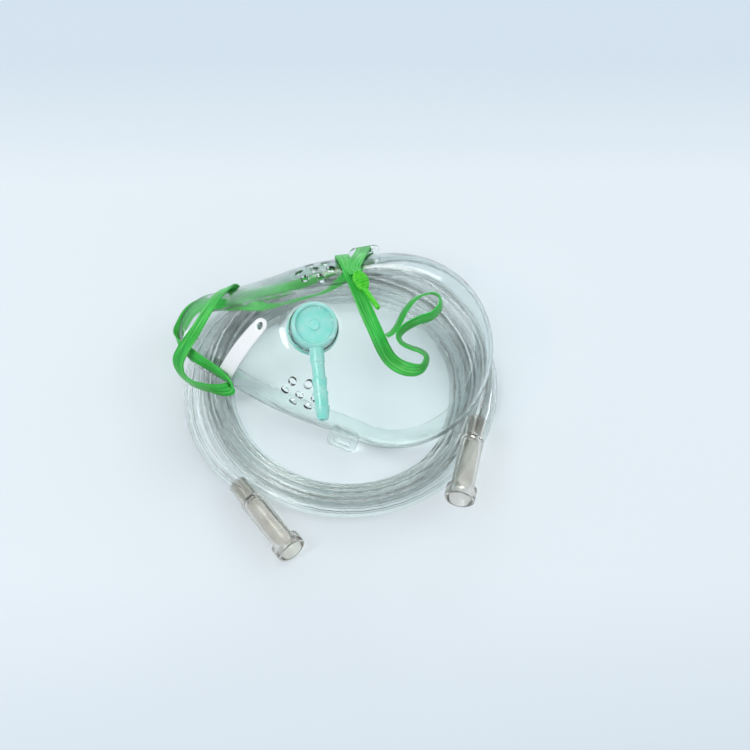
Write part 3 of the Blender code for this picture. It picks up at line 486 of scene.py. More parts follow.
def skinLines(rimCount, domeCount):
    # lines of the outer skin in millimetres, from the flange's inner edge to the collar's top
    outline = rimOutline(rimCount)
    centre, axis, along, across = portFrame()
    up = Vector((0.0, 0.0, 1.0))
    collar = shell["bore"] / 2.0 + shell["wall"]
    flange, lift, roll = shell["flange"], shell["lift"], shell["roll"]
    lines = []
    for number, (u, v) in enumerate(outline):
        before = outline[number - 1]
        after = outline[(number + 1) % rimCount]
        tangent = Vector((after[0] - before[0], after[1] - before[1], 0.0)).normalized()
        inner = Vector((-tangent.y, tangent.x, 0.0))
        base = Vector((u, v, rimRaise(u)))
        line = []
        for share, high in ((1.0, 1.0), (0.85, 0.70), (0.7, 0.45), (0.55, 0.25), (0.4, 0.10)):
            line.append(base + inner * flange * share + up * lift * high)
        for share, high in ((1.0, 0.0), (0.62, 0.08), (0.3, 0.3), (0.1, 0.6)):
            line.append(base + inner * roll * share + up * roll * high)
        foot = base + up * roll
        angle = math.atan2(v, u - shell["portU"])
        radial = along * math.cos(angle) + across * math.sin(angle)
        nose = min(max((shell["lowest"] - u) / (shell["lowest"] + shell["noseEnd"]), 0.0), 1.0)
        nose = nose * nose * (3.0 - 2.0 * nose)
        crown = centre - axis * shell["collarHigh"] + radial * (collar + shell["fillet"])
        ridge = crown - foot
        high = (foot + up * shell["cheek"] - inner * shell["swell"]) * (1.0 - nose)
        high += (foot + ridge * shell["foot"] + up * shell["crest"]) * nose
        lean = (crown + radial * shell["shoulder"]) * (1.0 - nose)
        lean += (foot + ridge * shell["crown"] + up * shell["crest"]) * nose
        for step in range(domeCount + 1):
            t = step / domeCount
            line.append(foot * (1.0 - t) ** 3 + high * 3.0 * t * (1.0 - t) ** 2
                        + lean * 3.0 * t ** 2 * (1.0 - t) + crown * t ** 3)
        rim = centre - axis * shell["collarHigh"]
        for out, rise in ((0.62, 0.05), (0.3, 0.2), (0.08, 0.42), (0.0, 0.7)):
            line.append(rim + radial * (collar + shell["fillet"] * out) + axis * shell["fillet"] * rise)
        line.append(centre - axis * 0.5 + radial * collar)
        line.append(centre - axis * 0.15 + radial * (collar - 0.15))
        line.append(centre + radial * (collar - 0.5))
        lines.append(line)
    return lines


def skinNormals(lines):
    count = len(lines)
    size = len(lines[0])
    out = []
    for row in range(count):
        these = []
        for step in range(size):
            around = lines[(row + 1) % count][step] - lines[row - 1][step]
            along = lines[row][min(step + 1, size - 1)] - lines[row][max(step - 1, 0)]
            these.append(around.cross(along).normalized())
        out.append(these)
    return out


skin = skinLines(shell["around"], shell["domeSteps"])
skinFaces = []
skinSize = len(skin[0])
for row in range(shell["around"]):
    for step in range(skinSize - 1):
        beside = (row + 1) % shell["around"]
        skinFaces.append((row * skinSize + step, beside * skinSize + step, beside * skinSize + step + 1,
                          row * skinSize + step + 1))
skinTree = BVHTree.FromPolygons([point for line in skin for point in line], skinFaces)
lowestPoint = min((maskPlace @ (point / 1000.0)).z for line in skin for point in line)
maskPlace = Matrix.Translation((0.0, 0.0, -lowestPoint)) @ maskPlace @ Matrix.Scale(0.001, 4)


def makeShellMesh():
    normals = skinNormals(skin)
    rows = [[skin[row][step] for row in range(shell["around"])] for step in range(skinSize)]
    inside = [[skin[row][step] - normals[row][step] * shell["wall"] for row in range(shell["around"])]
              for step in reversed(range(skinSize))]
    return gridMesh("mask_body", rows + inside, True, unit=1.0)


def onSkin(u, v):
    # the outer skin's place and outward normal straight below (u, v)
    point, normal, _, _ = skinTree.ray_cast(Vector((u, v, 110.0)), Vector((0.0, 0.0, -1.0)))
    return point, (normal if normal.z > 0.0 else -normal)


def earFrame(side):
    outline = [point for point in rimOutline(240) if point[1] > 0.0]
    number = min(range(len(outline)), key=lambda index: abs(outline[index][0] - ears["at"]))
    step = Vector(outline[number - 1]) - Vector(outline[number + 1])
    along = Vector((step.x, step.y, 0.0)).normalized()
    outward = Vector((-along.y, along.x, 0.0))
    start = Vector((*outline[number], ears["high"])) + outward * ears["clear"]
    wall = skinTree.ray_cast(start, -outward)[0]
    root = wall - outward * ears["sink"]
    if side < 0.0:
        along.y = -along.y
        outward.y = -outward.y
        root.y = -root.y
    droop = outward * math.cos(ears["droop"]) - Vector((0.0, 0.0, math.sin(ears["droop"])))
    frame = Matrix((along, droop, along.cross(droop) * side)).transposed().to_4x4()
    return Matrix.Translation(root) @ frame


def roundedPlate(name, halfX, low, high, corner, halfThick, steps, frame):
    # a flat plate from y low to y high: upright corners rounded first, then both faces' edges softened
    shape = bmesh.new()
    bmesh.ops.create_cube(shape, size=2.0)
    bmesh.ops.scale(shape, vec=(halfX, (high - low) / 2.0, halfThick), verts=shape.verts)
    bmesh.ops.translate(shape, vec=(0.0, (high + low) / 2.0, 0.0), verts=shape.verts)
    upright = [edge for edge in shape.edges if abs(edge.verts[0].co.z - edge.verts[1].co.z) > halfThick]
    bmesh.ops.bevel(shape, geom=upright, offset=corner, offset_type="OFFSET", segments=steps, profile=0.5,
                    affect="EDGES", material=-1)
    borders = [edge for edge in shape.edges if abs(edge.verts[0].co.z - edge.verts[1].co.z) < 1e-6]
    bmesh.ops.bevel(shape, geom=borders, offset=halfThick * 0.45, offset_type="OFFSET", segments=2,
                    profile=0.5, affect="EDGES", material=-1)
    bmesh.ops.transform(shape, matrix=frame, verts=shape.verts)
    bmesh.ops.recalc_face_normals(shape, faces=shape.faces)
    mesh = bpy.data.meshes.new(name)
    shape.to_mesh(mesh)
    shape.free()
    return meshObject(name, mesh, None)


def hexPlaces(pitch):
    # one place in the middle and six round it
    ring = [(pitch * math.cos(math.pi / 3 * k), pitch * math.sin(math.pi / 3 * k)) for k in range(6)]
    return [(0.0, 0.0)] + ring


# Nose clip's run over the dome, settled here because the shell's two studs stand in its holes
noseStrip = {"u": -37.2, "v": -11.0, "skew": math.radians(42.0), "long": 42.0, "steps": 72, "walk": 0.06,
             "evenedOver": 5, "holeRow": 6, "half": 3.5, "thick": 0.8, "edge": 0.22, "tip": 0.6, "lift": 0.3,
             "holeRadius": 1.5, "holeSides": 28}
studProfile = [(1.2, -0.7), (1.2, 1.35), (1.9, 1.35), (2.0, 1.5), (2.0, 1.85), (1.75, 2.1), (1.2, 2.2)]


def clipPlaces():
    # places and normals along the bent nose clip, near end first
    steps = noseStrip["steps"]
    line = Vector((math.sin(noseStrip["skew"]), math.cos(noseStrip["skew"])))
    sides = []
    for direction in (-1.0, 1.0):
        point, normal = onSkin(noseStrip["u"], noseStrip["v"])
        walked, reach = 0.0, 0.0
        stations = [(point, normal)]
        for number in range(1, steps // 2 + 1):
            while walked < noseStrip["long"] / steps * number:
                reach += direction * noseStrip["walk"]
                following, normal = onSkin(noseStrip["u"] + line.x * reach, noseStrip["v"] + line.y * reach)
                walked += (following - point).length
                point = following
            stations.append((point.copy(), normal.copy()))
        sides.append(stations)
    return list(reversed(sides[0][1:])) + sides[1]


def evened(stations, span):
    # each place with its normal averaged over its neighbours, square to the strip's way
    out = []
    for number, (point, _) in enumerate(stations):
        low, high = max(number - span, 0), min(number + span + 1, len(stations))
        mean = Vector((0.0, 0.0, 0.0))
        for other in stations[low:high]:
            mean += other[1]
        way = (stations[min(number + 1, len(stations) - 1)][0] - stations[max(number - 1, 0)][0]).normalized()
        mean = (mean - way * mean.dot(way)).normalized()
        out.append((point, mean, way))
    return out


clipLine = evened(clipPlaces(), noseStrip["evenedOver"])
clipHoles = [clipLine[noseStrip["holeRow"]], clipLine[-1 - noseStrip["holeRow"]]]


def shellMaterial():
    # clear soft vinyl, moulded: glossy and faintly green, darker where it is seen edge on, with the mould's
    # slow waves about 10 mm long, a haze about 1.5 mm fine and a thin grey line along the rolled rim
    made, tree = startMaterial("clear_vinyl_look")
    place = addNode(tree, "TexCoord")
    waves = addNode(tree, "TexNoise", {"Vector": place.outputs["Object"], "Scale": 95.0, "Detail": 2.0})
    haze = addNode(tree, "TexNoise", {"Vector": place.outputs["Object"], "Scale": 700.0, "Detail": 3.0})
    rough = ramp(tree, haze.outputs[0], [(0.35, grey(0.05)), (0.75, grey(0.14))])
    bump = addNode(tree, "Bump", {"Height": waves.outputs[0], "Strength": 0.35, "Distance": mm(0.5)})
    edge = addNode(tree, "LayerWeight", {"Blend": 0.35})
    tint = ramp(tree, edge.outputs["Facing"], [(0.3, rgb("#f6fbfa")), (0.85, rgb("#c0d4ce")),
                                               (0.98, rgb("#6f8883"))])
    uv = addNode(tree, "UVMap", uv_map="map")
    parts = addNode(tree, "SeparateXYZ", {0: uv.outputs[0]})
    # the ramp spans the first 20 mm from the flange's lip, and the line takes 8 to 10.2 mm of them
    way = addNode(tree, "Math", {0: parts.outputs["X"], 1: 0.05}, operation="MULTIPLY")
    rim = ramp(tree, way.outputs[0], [(0.375, grey(0.0)), (0.4, grey(1.0)), (0.51, grey(1.0)),
                                      (0.54, grey(0.0))])
    lined = addNode(tree, "Mix", {0: rim, 6: tint, 7: rgb("#3e5256")}, data_type="RGBA", blend_type="MIX")
    shader = addNode(tree, "BsdfPrincipled", {"Base Color": lined.outputs[2], "Roughness": rough, "IOR": 1.38,
                                              "Transmission Weight": 1.0, "Normal": bump.outputs[0]})
    return closeMaterial(made, tree, shader, 0.93, "#f7faf9")


def makeShell():
    body = meshObject("mask_body", makeShellMesh(), shellMaterial())
    for side in (-1.0, 1.0):
        frame = earFrame(side)
        ear = roundedPlate(f"ear_{side:.0f}", ears["halfLong"], ears["root"], ears["reach"], ears["corner"],
                           ears["halfThick"], 6, frame)
        slot = roundedPlate(f"slot_{side:.0f}", slots["halfLong"], slots["low"], slots["high"],
                            slots["corner"], slots["halfDeep"], 4, frame)
        cut(ear, slot, "DIFFERENCE")
        ear = applied(ear)
        bpy.data.objects.remove(slot, do_unlink=True)
        cut(body, ear, "UNION")
        centre, normal = onSkin(vents["u"], side * vents["v"])
        spot = axisPlace(centre, normal)
        shape = bmesh.new()
        for x, y in hexPlaces(vents["pitch"]):
            bmesh.ops.create_cone(shape, cap_ends=True, segments=vents["sides"], radius1=vents["radius"],
                                  radius2=vents["radius"], depth=vents["deep"],
                                  matrix=spot @ Matrix.Translation((x, y, 0.0)))
        mesh = bpy.data.meshes.new("vents")
        shape.to_mesh(mesh)
        shape.free()
        drills = meshObject(f"vents_{side:.0f}", mesh, None)
        cut(body, drills, "DIFFERENCE")
    for number, (point, normal, _) in enumerate(clipHoles):
        post = meshObject(f"post_{number}", lathe("post", studProfile, noseStrip["holeSides"]), None)
        post.matrix_world = axisPlace(point, normal)
        cut(body, post, "UNION")
    bpy.context.view_layer.update()
    tools = [step.object for step in body.modifiers]
    body = applied(body)
    for tool in tools:
        bpy.data.objects.remove(tool, do_unlink=True)
    body.data.transform(maskPlace)
    body.data.set_sharp_from_angle(angle=math.radians(38.0))
    return body


maskBody = makeShell()
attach(maskBody, "mask")
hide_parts("mask_shell")
print("mask made,", len(maskBody.data.polygons), "faces")


# Nose clip: a soft aluminium strip with rounded ends and two holes
def clipMaterial():
    # soft rolled aluminium: pale and satin with fine grain along the strip; its metallic is kept low, because
    # the strip reads nearly white and mirrors little
    made, tree = startMaterial("aluminium_look")
    uv = addNode(tree, "UVMap", uv_map="map")
    stretch = addNode(tree, "VectorMath", {0: uv.outputs[0], 1: (0.25, 6.0, 1.0)}, operation="MULTIPLY")
    grain = addNode(tree, "TexNoise", {"Vector": stretch.outputs[0], "Scale": 2.0, "Detail": 4.0})
    rough = ramp(tree, grain.outputs[0], [(0.3, grey(0.30)), (0.75, grey(0.48))])
    tint = ramp(tree, grain.outputs[0], [(0.3, rgb("#f7f8f9")), (0.7, rgb("#ffffff"))])
    bump = addNode(tree, "Bump", {"Height": grain.outputs[0], "Strength": 0.12, "Distance": mm(0.05)})
    shader = addNode(tree, "BsdfPrincipled", {"Base Color": tint, "Metallic": 0.2, "Roughness": rough,
                                              "Normal": bump.outputs[0]})
    return closeMaterial(made, tree, shader)


def makeClip():
    half, thick, edge = noseStrip["half"], noseStrip["thick"], noseStrip["edge"]
    rows = []
    for number, (point, normal, way) in enumerate(clipLine):
        fromEnd = min(number, len(clipLine) - 1 - number) * noseStrip["long"] / (len(clipLine) - 1)
        width = half
        if fromEnd < half:
            width = max(math.sqrt(half ** 2 - (half - fromEnd) ** 2), noseStrip["tip"])
        side = normal.cross(way).normalized()
        low = point + normal * noseStrip["lift"]
        rows.append([low - side * (width - edge), low + side * (width - edge),
                     low + side * width + normal * edge, low + side * width + normal * (thick - edge),
                     low + side * (width - edge) + normal * thick,
                     low - side * (width - edge) + normal * thick,
                     low - side * width + normal * (thick - edge), low - side * width + normal * edge])
    clip = meshObject("clip_strip", gridMesh("clip_strip", rows, unit=1.0), clipMaterial(), 30.0)
    tools = []
    radius = noseStrip["holeRadius"]
    for number, (point, normal, _) in enumerate(clipHoles):
        hole = meshObject(f"hole_{number}", lathe("hole", [(radius, -1.0), (radius, 2.0)],
                                                  noseStrip["holeSides"]), None)
        hole.matrix_world = axisPlace(point, normal)
        cut(clip, hole, "DIFFERENCE")
        tools.append(hole)
    bpy.context.view_layer.update()
    clip = applied(clip)
    for tool in tools:
        bpy.data.objects.remove(tool, do_unlink=True)
    clip.data.transform(maskPlace)
    clip.data.set_sharp_from_angle(angle=math.radians(30.0))
    return clip


noseClip = makeClip()
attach(noseClip, "mask")
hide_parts("nose_clip")
print("nose clip made")

# Head strap: (u, v, height, degrees of roll from lying flat), from the end clip round the nose to the dome
strapRoute = [
    (11.3, 27.6, 37.4, 0), (9.2, 30.3, 35.4, 0), (9.9, 34.6, 31.7, 0), (10.4, 39.4, 21.8, 0),
    (10.2, 43, 14, 0), (9.9, 44.4, 9.2, 0), (10.2, 43.3, 6.2, 0), (10.5, 41.9, 2, 0), (5, 36.8, -2.2, 20),
    (-5.5, 25.5, -1.5, 50), (-20.5, 19, 0, 50), (-30.5, 15.6, 1.2, 25), (-40.5, 15, 2.4, 0),
    (-51.5, 13.6, 4, 0), (-60.6, 11.6, 5.4, 0), (-65, 7.6, 6.4, 0), (-67.4, 1.8, 7, 0),
    (-68.6, -2.6, 8.2, 0), (-67.6, -6.4, 10.2, 0), (-63.2, -9.8, 12.6, 0), (-57.6, -13.2, 14.4, 0),
    (-52.4, -16, 15, 0), (-48, -18.6, 14.8, 0), (-44.2, -21, 14, 5), (-41.2, -23, 13.2, 25),
    (-41.4, -25, 12.6, 48), (-44.8, -26.2, 12.4, 25), (-51.1, -26, 12, 0), (-57.3, -25, 11, -4),
    (-61.9, -22.8, 10.2, -4), (-65.3, -19.4, 10.8, 0), (-66.2, -15.2, 14, 4), (-63, -9.4, 19.4, 0),
    (-58.4, -2.2, 23.4, 0), (-55, 5.6, 23.6, 0), (-52.2, 12.6, 20.8, 0), (-50.4, 17.2, 15, 0),
    (-49, 20.5, 8.6, 0), (-47.6, 21.3, 3.6, 0), (-45.4, 19.9, 0.4, 0), (-42, 19.6, -1.2, 0),
    (-35.2, 21.4, -2.2, 10), (-27.2, 24.4, -2.6, 35), (-18.2, 28.6, -2.8, 50), (-8.6, 33.4, -2.6, 40),
    (-3.2, 36.6, -1.4, 15), (-0.8, 38.7, 1.2, 0), (0.2, 38.9, 6, 0), (1.4, 38.9, 15.2, 0),
    (2.7, 36.5, 25.2, 0), (6.4, 31.6, 32.8, 0), (9.9, 25.4, 37, 0), (12.9, 20.1, 38.1, 0),
    (17.5, 11.5, 38.6, 0), (22.4, 3.1, 38.4, 0), (27.3, -5.2, 37.8, 0), (31.3, -9.7, 37.3, 0),
    (36.4, -12.1, 36.4, 10), (41.6, -12.3, 35.6, 30), (45.2, -10.4, 36, 60), (46.2, -6.4, 36.9, 66),
    (43.6, -4.2, 37.5, 68), (39, -3.2, 38.3, 68), (34.8, -1.6, 39, 68), (33.2, 1.4, 39.2, 68),
    (35.5, 5.2, 38.7, 68), (40.7, 9.1, 37.5, 68), (46.4, 12.2, 35.9, 68), (49.3, 17, 34.2, 68),
    (48.6, 21.2, 33.6, 68), (45.1, 22.4, 33.8, 68), (41.2, 20.9, 35.2, 68), (38.1, 18.6, 36.4, 68),
    (34.6, 12.8, 38.1, 68), (32.5, 6.6, 39.1, 68), (30.2, 2.4, 39.7, 68), (28, 0.6, 40, 68),
]
strap = {"width": 6.4, "thick": 0.9, "steps": 8, "clear": 0.6, "nearest": 0.3, "farthest": 12.8}


def strapStations():
    # the route's places on and beside the skin, with the ribbon's roll away from lying flat
    knots = [Vector(row[:3]) for row in strapRoute]
    points = smoothRoute(knots, strap["steps"])
    rolls = []
    for number in range(len(knots) - 1):
        for step in range(strap["steps"]):
            t = step / strap["steps"]
            rolls.append(math.radians(strapRoute[number][3] * (1.0 - t) + strapRoute[number + 1][3] * t))
    rolls.append(math.radians(strapRoute[-1][3]))
    placed = []
    for point, roll in zip(points, rolls):
        near, face, _, _ = skinTree.find_nearest(point)
        outward = point - near
        if outward.dot(face) < 0.0:
            outward = -outward
        if outward.length < strap["nearest"] or outward.length > strap["farthest"]:
            outward = face
        outward = outward.normalized()
        least = strap["thick"] / 2.0 * math.cos(roll) + strap["width"] / 2.0 * math.sin(roll) + strap["clear"]
        if (point - near).dot(outward) < least:
            point = near + outward * least
        placed.append((point, outward, roll))
    return placed


def ribbonRows(placed):
    count = len(placed)
    reach = strap["steps"] // 2 * 3
    half, thick = strap["width"] / 2.0, strap["thick"] / 2.0
    # the flat ribbon's section with soft edges, as shares of half its width and half its thickness
    outline = [(-1.0, -0.3), (-0.955, -0.8), (-0.88, -1.0), (0.0, -1.0), (0.88, -1.0), (0.955, -0.8),
               (1.0, -0.3), (1.0, 0.3), (0.955, 0.8), (0.88, 1.0), (0.0, 1.0), (-0.88, 1.0), (-0.955, 0.8),
               (-1.0, 0.3)]
    rows = []
    for number, (point, _, roll) in enumerate(placed):
        before = placed[max(number - 2, 0)][0]
        after = placed[min(number + 2, count - 1)][0]
        along = (after - before).normalized()
        mean = Vector((0.0, 0.0, 0.0))
        for other in placed[max(number - reach, 0):number + reach + 1]:
            mean += other[1]
        mean -= along * mean.dot(along)
        face = Matrix.Rotation(roll, 3, along) @ mean.normalized()
        side = face.cross(along)
        rows.append([point + side * (half * x) + face * (thick * y) for x, y in outline])
    return rows


def strapMaterial():
    # thin woven green elastic: lengthwise streaks whose tones run from a shaded deep green to a lit pale
    # green, so real streaks with painted shade and painted light, a cross rib about every 0.75 mm, a satin
    # shine, and painted light in paler patches
    made, tree = startMaterial("green_elastic_look")
    uv = addNode(tree, "UVMap", uv_map="map")
    cross = addNode(tree, "TexWave", {"Vector": uv.outputs[0], "Scale": 0.42, "Distortion": 0.5,
                                      "Detail": 1.0}, wave_type="BANDS", bands_direction="X")
    drawn = addNode(tree, "Mapping", {"Vector": uv.outputs[0], "Scale": (0.05, 1.3, 1.0)})
    streak = addNode(tree, "TexNoise", {"Vector": drawn.outputs[0], "Scale": 1.0, "Detail": 3.0})
    paintedLightPatch = addNode(tree, "TexNoise", {"Vector": uv.outputs[0], "Scale": 0.07, "Detail": 2.0})
    # real lengthwise streaks with painted shade and painted light: their tones span a shaded deep green and a
    # lit pale green
    body = ramp(tree, streak.outputs[0], [(0.3, rgb("#0c9c36")), (0.5, rgb("#2cc244")),
                                          (0.72, rgb("#7de07a"))])
    # painted light: paler patches laid over the streaks
    light = ramp(tree, paintedLightPatch.outputs[0], [(0.35, rgb("#bfe0b4")), (0.62, rgb("#ffffff"))])
    tint = addNode(tree, "Mix", {0: 1.0, 6: body, 7: light}, data_type="RGBA", blend_type="MULTIPLY")
    relief = addNode(tree, "Math", {0: cross.outputs["Fac"], 1: streak.outputs[0]}, operation="ADD")
    bump = addNode(tree, "Bump", {"Height": relief.outputs[0], "Strength": 0.4, "Distance": mm(0.1)})
    rough = ramp(tree, streak.outputs[0], [(0.3, grey(0.5)), (0.7, grey(0.34))])
    shader = addNode(tree, "BsdfPrincipled", {"Base Color": tint.outputs[2], "Roughness": rough,
                                              "Subsurface Weight": 0.3, "Subsurface Scale": mm(0.8),
                                              "Sheen Weight": 0.15, "Sheen Roughness": 0.4,
                                              "Normal": bump.outputs[0]})
    return closeMaterial(made, tree, shader)


strapPlaced = strapStations()
headStrap = meshObject("strap_ribbon", gridMesh("strap_ribbon", ribbonRows(strapPlaced), unit=1.0),
                       strapMaterial(), 60.0)
headStrap.data.transform(maskPlace)
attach(headStrap, "mask")
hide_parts("head_strap")
print("strap made", round(sum((b[0] - a[0]).length for a, b in zip(strapPlaced, strapPlaced[1:]))), "mm")

# Ribbed end clip of the strap: an oval ribbed head, and a thin tail that leans to one side
endGrip = {"from": 0.3, "long": 8.8, "half": 3.5, "high": 3.4, "ribs": 6.0, "ribHigh": 0.36, "rows": 60,
           "tailFrom": 9.1, "tailLong": 11.6, "tailLean": 1.6, "tailHigh": 2.2, "seat": 0.75, "sides": 20}
tailWidths = ((0.03, 1.5), (0.08, 1.15), (0.3, 1.1), (0.6, 1.1), (0.86, 1.2), (0.94, 1.15), (0.98, 0.95),
              (1.0, 0.6))  # (share of the tail, half width)


def brightGreenMaterial():
    # moulded polypropylene in a fluorescent green: smooth and a little translucent, mottled every 2 mm
    made, tree = startMaterial("bright_green_look")
    place = addNode(tree, "TexCoord")
    noise = addNode(tree, "TexNoise", {"Vector": place.outputs["Object"], "Scale": 500.0, "Detail": 2.0})
    tint = ramp(tree, noise.outputs[0], [(0.35, rgb("#35c21a")), (0.7, rgb("#62dd2a"))])
    shader = addNode(tree, "BsdfPrincipled", {"Base Color": tint, "Roughness": 0.32, "Coat Weight": 0.3,
                                              "Subsurface Weight": 0.15, "Subsurface Scale": mm(1.0)})
    return closeMaterial(made, tree, shader)


def makeEndClip():
    start, normal, _ = strapPlaced[0]
    along = (strapPlaced[0][0] - strapPlaced[strap["steps"]][0]).normalized()
    frame = axisPlace(start - normal * endGrip["seat"], normal, along)
    rows = []

    def section(x, width, height):
        # a squarish oval that rests on the strap
        places = []
        for step in range(endGrip["sides"]):
            angle = 2.0 * math.pi * (step + 0.5) / endGrip["sides"]
            across, upward = math.cos(angle), math.sin(angle)
            across = math.copysign(abs(across) ** 0.8, across)
            upward = math.copysign(abs(upward) ** 0.8, upward)
            places.append(frame @ Vector((x, width * across, height / 2.0 * (1.0 + upward))))
        return places

    for step in range(endGrip["rows"] + 1):
        share = step / endGrip["rows"]
        swell = math.sin(math.pi * (0.12 + 0.76 * share))
        rib = endGrip["ribHigh"] * math.cos(2.0 * math.pi * endGrip["ribs"] * share)
        rows.append(section(endGrip["from"] + endGrip["long"] * share, endGrip["half"] * swell ** 0.6,
                            endGrip["high"] * (0.55 + 0.45 * swell) + rib))
    for share, width in tailWidths:
        lean = frame.to_3x3() @ Vector((0.0, endGrip["tailLean"] * share, 0.0))
        high = min(width * 2.0, endGrip["tailHigh"])
        places = section(endGrip["tailFrom"] + endGrip["tailLong"] * share, width, high)
        rows.append([place + lean for place in places])
    clip = meshObject("end_clip", gridMesh("end_clip", rows), brightGreenMaterial(), 50.0)
    clip.data.transform(maskPlace)
    return clip


endClip = makeEndClip()
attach(endClip, "mask")
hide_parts("strap_end_clip")
print("end clip made")

# Swivel connector: a cup with a recessed cap, a lip behind the collar and a barbed spigot
swivel = {"turn": math.radians(-78.0), "rise": math.radians(5.0), "axisHigh": 3.8, "reach": 42.0, "barbs": 3,
          "barbPitch": 6.2, "root": 2.8, "bore": 1.5, "boreFrom": 7.25, "boreTo": 45.0, "sides": 96,
          "spigotSides": 48, "boreSides": 36}


def turquoiseMaterial():
    # moulded polypropylene tinted turquoise: smooth, pale and milky, with clouds about 5 mm across
    made, tree = startMaterial("turquoise_look")
    place = addNode(tree, "TexCoord")
    noise = addNode(tree, "TexNoise", {"Vector": place.outputs["Object"], "Scale": 220.0, "Detail": 3.0})
    tint = ramp(tree, noise.outputs[0], [(0.3, rgb("#9df6e9")), (0.75, rgb("#d0fdf6"))])
    rough = ramp(tree, noise.outputs[0], [(0.3, grey(0.16)), (0.75, grey(0.3))])
    shader = addNode(tree, "BsdfPrincipled", {"Base Color": tint, "Roughness": rough,
                                              "Transmission Weight": 0.35, "IOR": 1.42,
                                              "Subsurface Weight": 0.3,
                                              "Subsurface Scale": mm(2.0), "Coat Weight": 0.2})
    return closeMaterial(made, tree, shader, 0.25, "#b9f2e8")


def makeConnector():
    profile = [(8.0, 5.0), (8.0, -9.2), (8.2, -9.4), (9.5, -9.4), (10.1, -9.3), (10.6, -8.9),
               (10.7, -8.6), (10.7, -8.15), (10.55, -8.0), (9.5, -8.0), (9.5, 0.3), (10.1, 0.3),
               (10.32, 0.42), (10.4, 0.7), (10.1, 7.2), (9.98, 7.7), (9.6, 8.2), (9.2, 8.4), (8.8, 8.4),
               (8.55, 8.3), (8.35, 8.0), (8.25, 6.6), (8.0, 6.32), (7.7, 6.3), (2.7, 6.3), (2.45, 6.42),
               (2.35, 6.7), (2.2, 7.0), (1.9, 7.1)]
    body = meshObject("connector_body", lathe("connector_body", profile, swivel["sides"]),
                      turquoiseMaterial())
    outward = Vector((math.cos(swivel["turn"]), math.sin(swivel["turn"]), math.sin(swivel["rise"])))
    frame = axisPlace(Vector((0.0, 0.0, swivel["axisHigh"])), outward, (0.0, 0.0, 1.0))
    root = swivel["root"]
    spigot = [(3.2, 8.8), (3.2, 16.1), (3.1, 16.5), (2.85, 16.85), (root, 17.0)]
    for number in range(swivel["barbs"]):
        start = swivel["reach"] - swivel["barbPitch"] * (swivel["barbs"] - number)
        spigot += [(root, start), (3.3, start + 0.25), (3.4, start + 0.45), (3.36, start + 0.7)]
    spigot += [(2.35, 41.7), (2.2, swivel["reach"])]
    pipe = meshObject("spigot", lathe("spigot", spigot, swivel["spigotSides"]), None)
    pipe.matrix_world = frame
    bore = [(swivel["bore"], swivel["boreFrom"]), (swivel["bore"], swivel["boreTo"])]
    drill = meshObject("spigot_bore", lathe("spigot_bore", bore, swivel["boreSides"]), None)
    drill.matrix_world = frame
    cut(body, pipe, "UNION")
    cut(body, drill, "DIFFERENCE")
    bpy.context.view_layer.update()
    made = applied(body)
    for tool in (pipe, drill):
        bpy.data.objects.remove(tool, do_unlink=True)
    centre, axis, along, _ = portFrame()
    made.data.transform(axisPlace(centre, axis, along))
    made.data.transform(maskPlace)
    made.data.set_sharp_from_angle(angle=math.radians(38.0))
    return made


connector = makeConnector()
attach(connector, "connector")
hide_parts("swivel_connector")
print("connector made")

# Card and light; each lamp has its place, the place it is aimed at, its size, watts and colour
card = {"half": 2.5, "top": -0.4, "rough": 0.75}
room = {"colour": "#eaeff3", "seen": 1.04, "diffuse": 0.66, "glossy": 0.62}
lamps = {"key": ((-0.85, -0.55, 1.35), (0.0, 0.0, 0.02), (0.8, 0.6), 11.5, "#ffffff"),
         "fill": ((1.1, 0.3, 1.0), (0.0, 0.0, 0.02), (0.9, 0.9), 4.2, "#f3f8ff"),
         "rim": ((0.2, 1.4, 0.7), (0.0, 0.0, 0.04), (1.2, 0.3), 6.0, "#ffffff")}


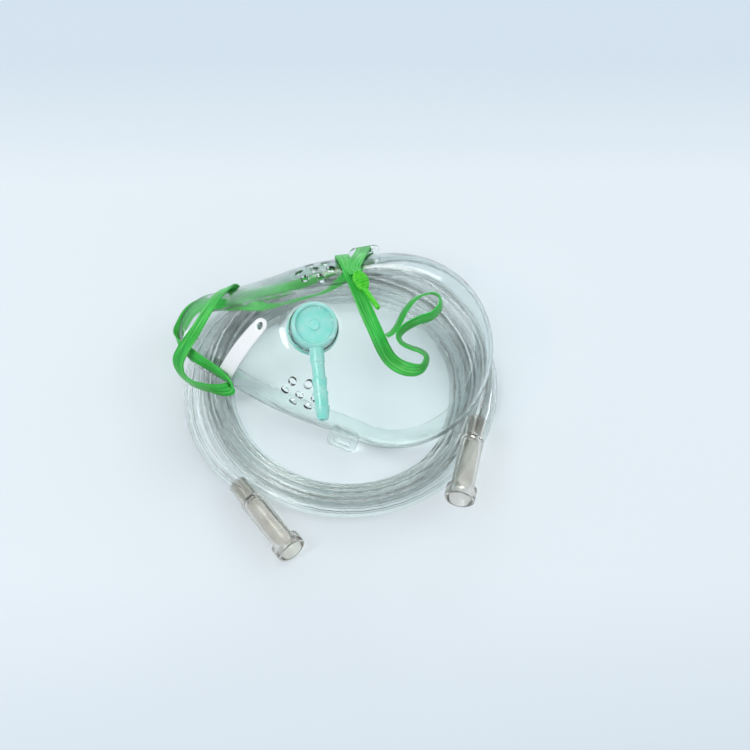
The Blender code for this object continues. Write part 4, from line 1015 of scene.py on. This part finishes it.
def stageMaterial():
    # a seamless pale blue card, with painted shade that makes it darker towards its front and back
    made, tree = startMaterial("card_look")
    place = addNode(tree, "TexCoord")
    parts = addNode(tree, "SeparateXYZ", {0: place.outputs["Object"]})
    depth = addNode(tree, "Math", {0: parts.outputs["Y"], 1: 2.0, 2: 0.5}, operation="MULTIPLY_ADD")
    # painted shade: the card's colour darkens towards its front and back
    tint = ramp(tree, depth.outputs[0], [(0.08, rgb("#d2dce4")), (0.3, rgb("#e1e8ed")),
                                         (0.72, rgb("#e1e8ed")), (0.86, rgb("#cfdbe4"))])
    shader = addNode(tree, "BsdfPrincipled", {"Base Color": tint, "Roughness": card["rough"],
                                              "Specular IOR Level": 0.2})
    return closeMaterial(made, tree, shader)


def makeStage():
    shape = bmesh.new()
    bmesh.ops.create_grid(shape, x_segments=2, y_segments=2, size=card["half"],
                          matrix=Matrix.Translation((0.0, 0.0, mm(card["top"]))))
    mesh = bpy.data.meshes.new("floor")
    shape.to_mesh(mesh)
    shape.free()
    floor = bpy.data.objects.new("floor", mesh)
    scene.collection.objects.link(floor)
    mesh.materials.append(stageMaterial())


def addLight(name, place, target, size, power, colour):
    data = bpy.data.lights.new(name, "AREA")
    data.shape = "RECTANGLE"
    data.size, data.size_y = size
    data.energy = power
    data.color = rgb(colour)[:3]
    lamp = bpy.data.objects.new(name, data)
    scene.collection.objects.link(lamp)
    lamp.matrix_world = axisPlace(Vector(place), Vector(place) - Vector(target))


def makeLight():
    # the room lights the card gently, shows bright through clear pieces and dimmer in reflections
    world = bpy.data.worlds.new("room")
    scene.world = world
    world.use_nodes = True
    tree = world.node_tree
    shade = tree.nodes["Background"]
    shade.inputs["Color"].default_value = rgb(room["colour"])
    ray = addNode(tree, "LightPath")
    level = addNode(tree, "MapRange", {"Value": ray.outputs["Is Diffuse Ray"], "To Min": room["seen"],
                                       "To Max": room["diffuse"]})
    mirrored = addNode(tree, "MapRange", {"Value": ray.outputs["Is Glossy Ray"], "To Min": 1.0,
                                          "To Max": room["glossy"]})
    strength = addNode(tree, "Math", {0: level.outputs["Result"], 1: mirrored.outputs["Result"]},
                       operation="MULTIPLY")
    tree.links.new(strength.outputs[0], shade.inputs["Strength"])
    for name, lamp in lamps.items():
        addLight(name, *lamp)


makeStage()
makeLight()
print("stage and light set")
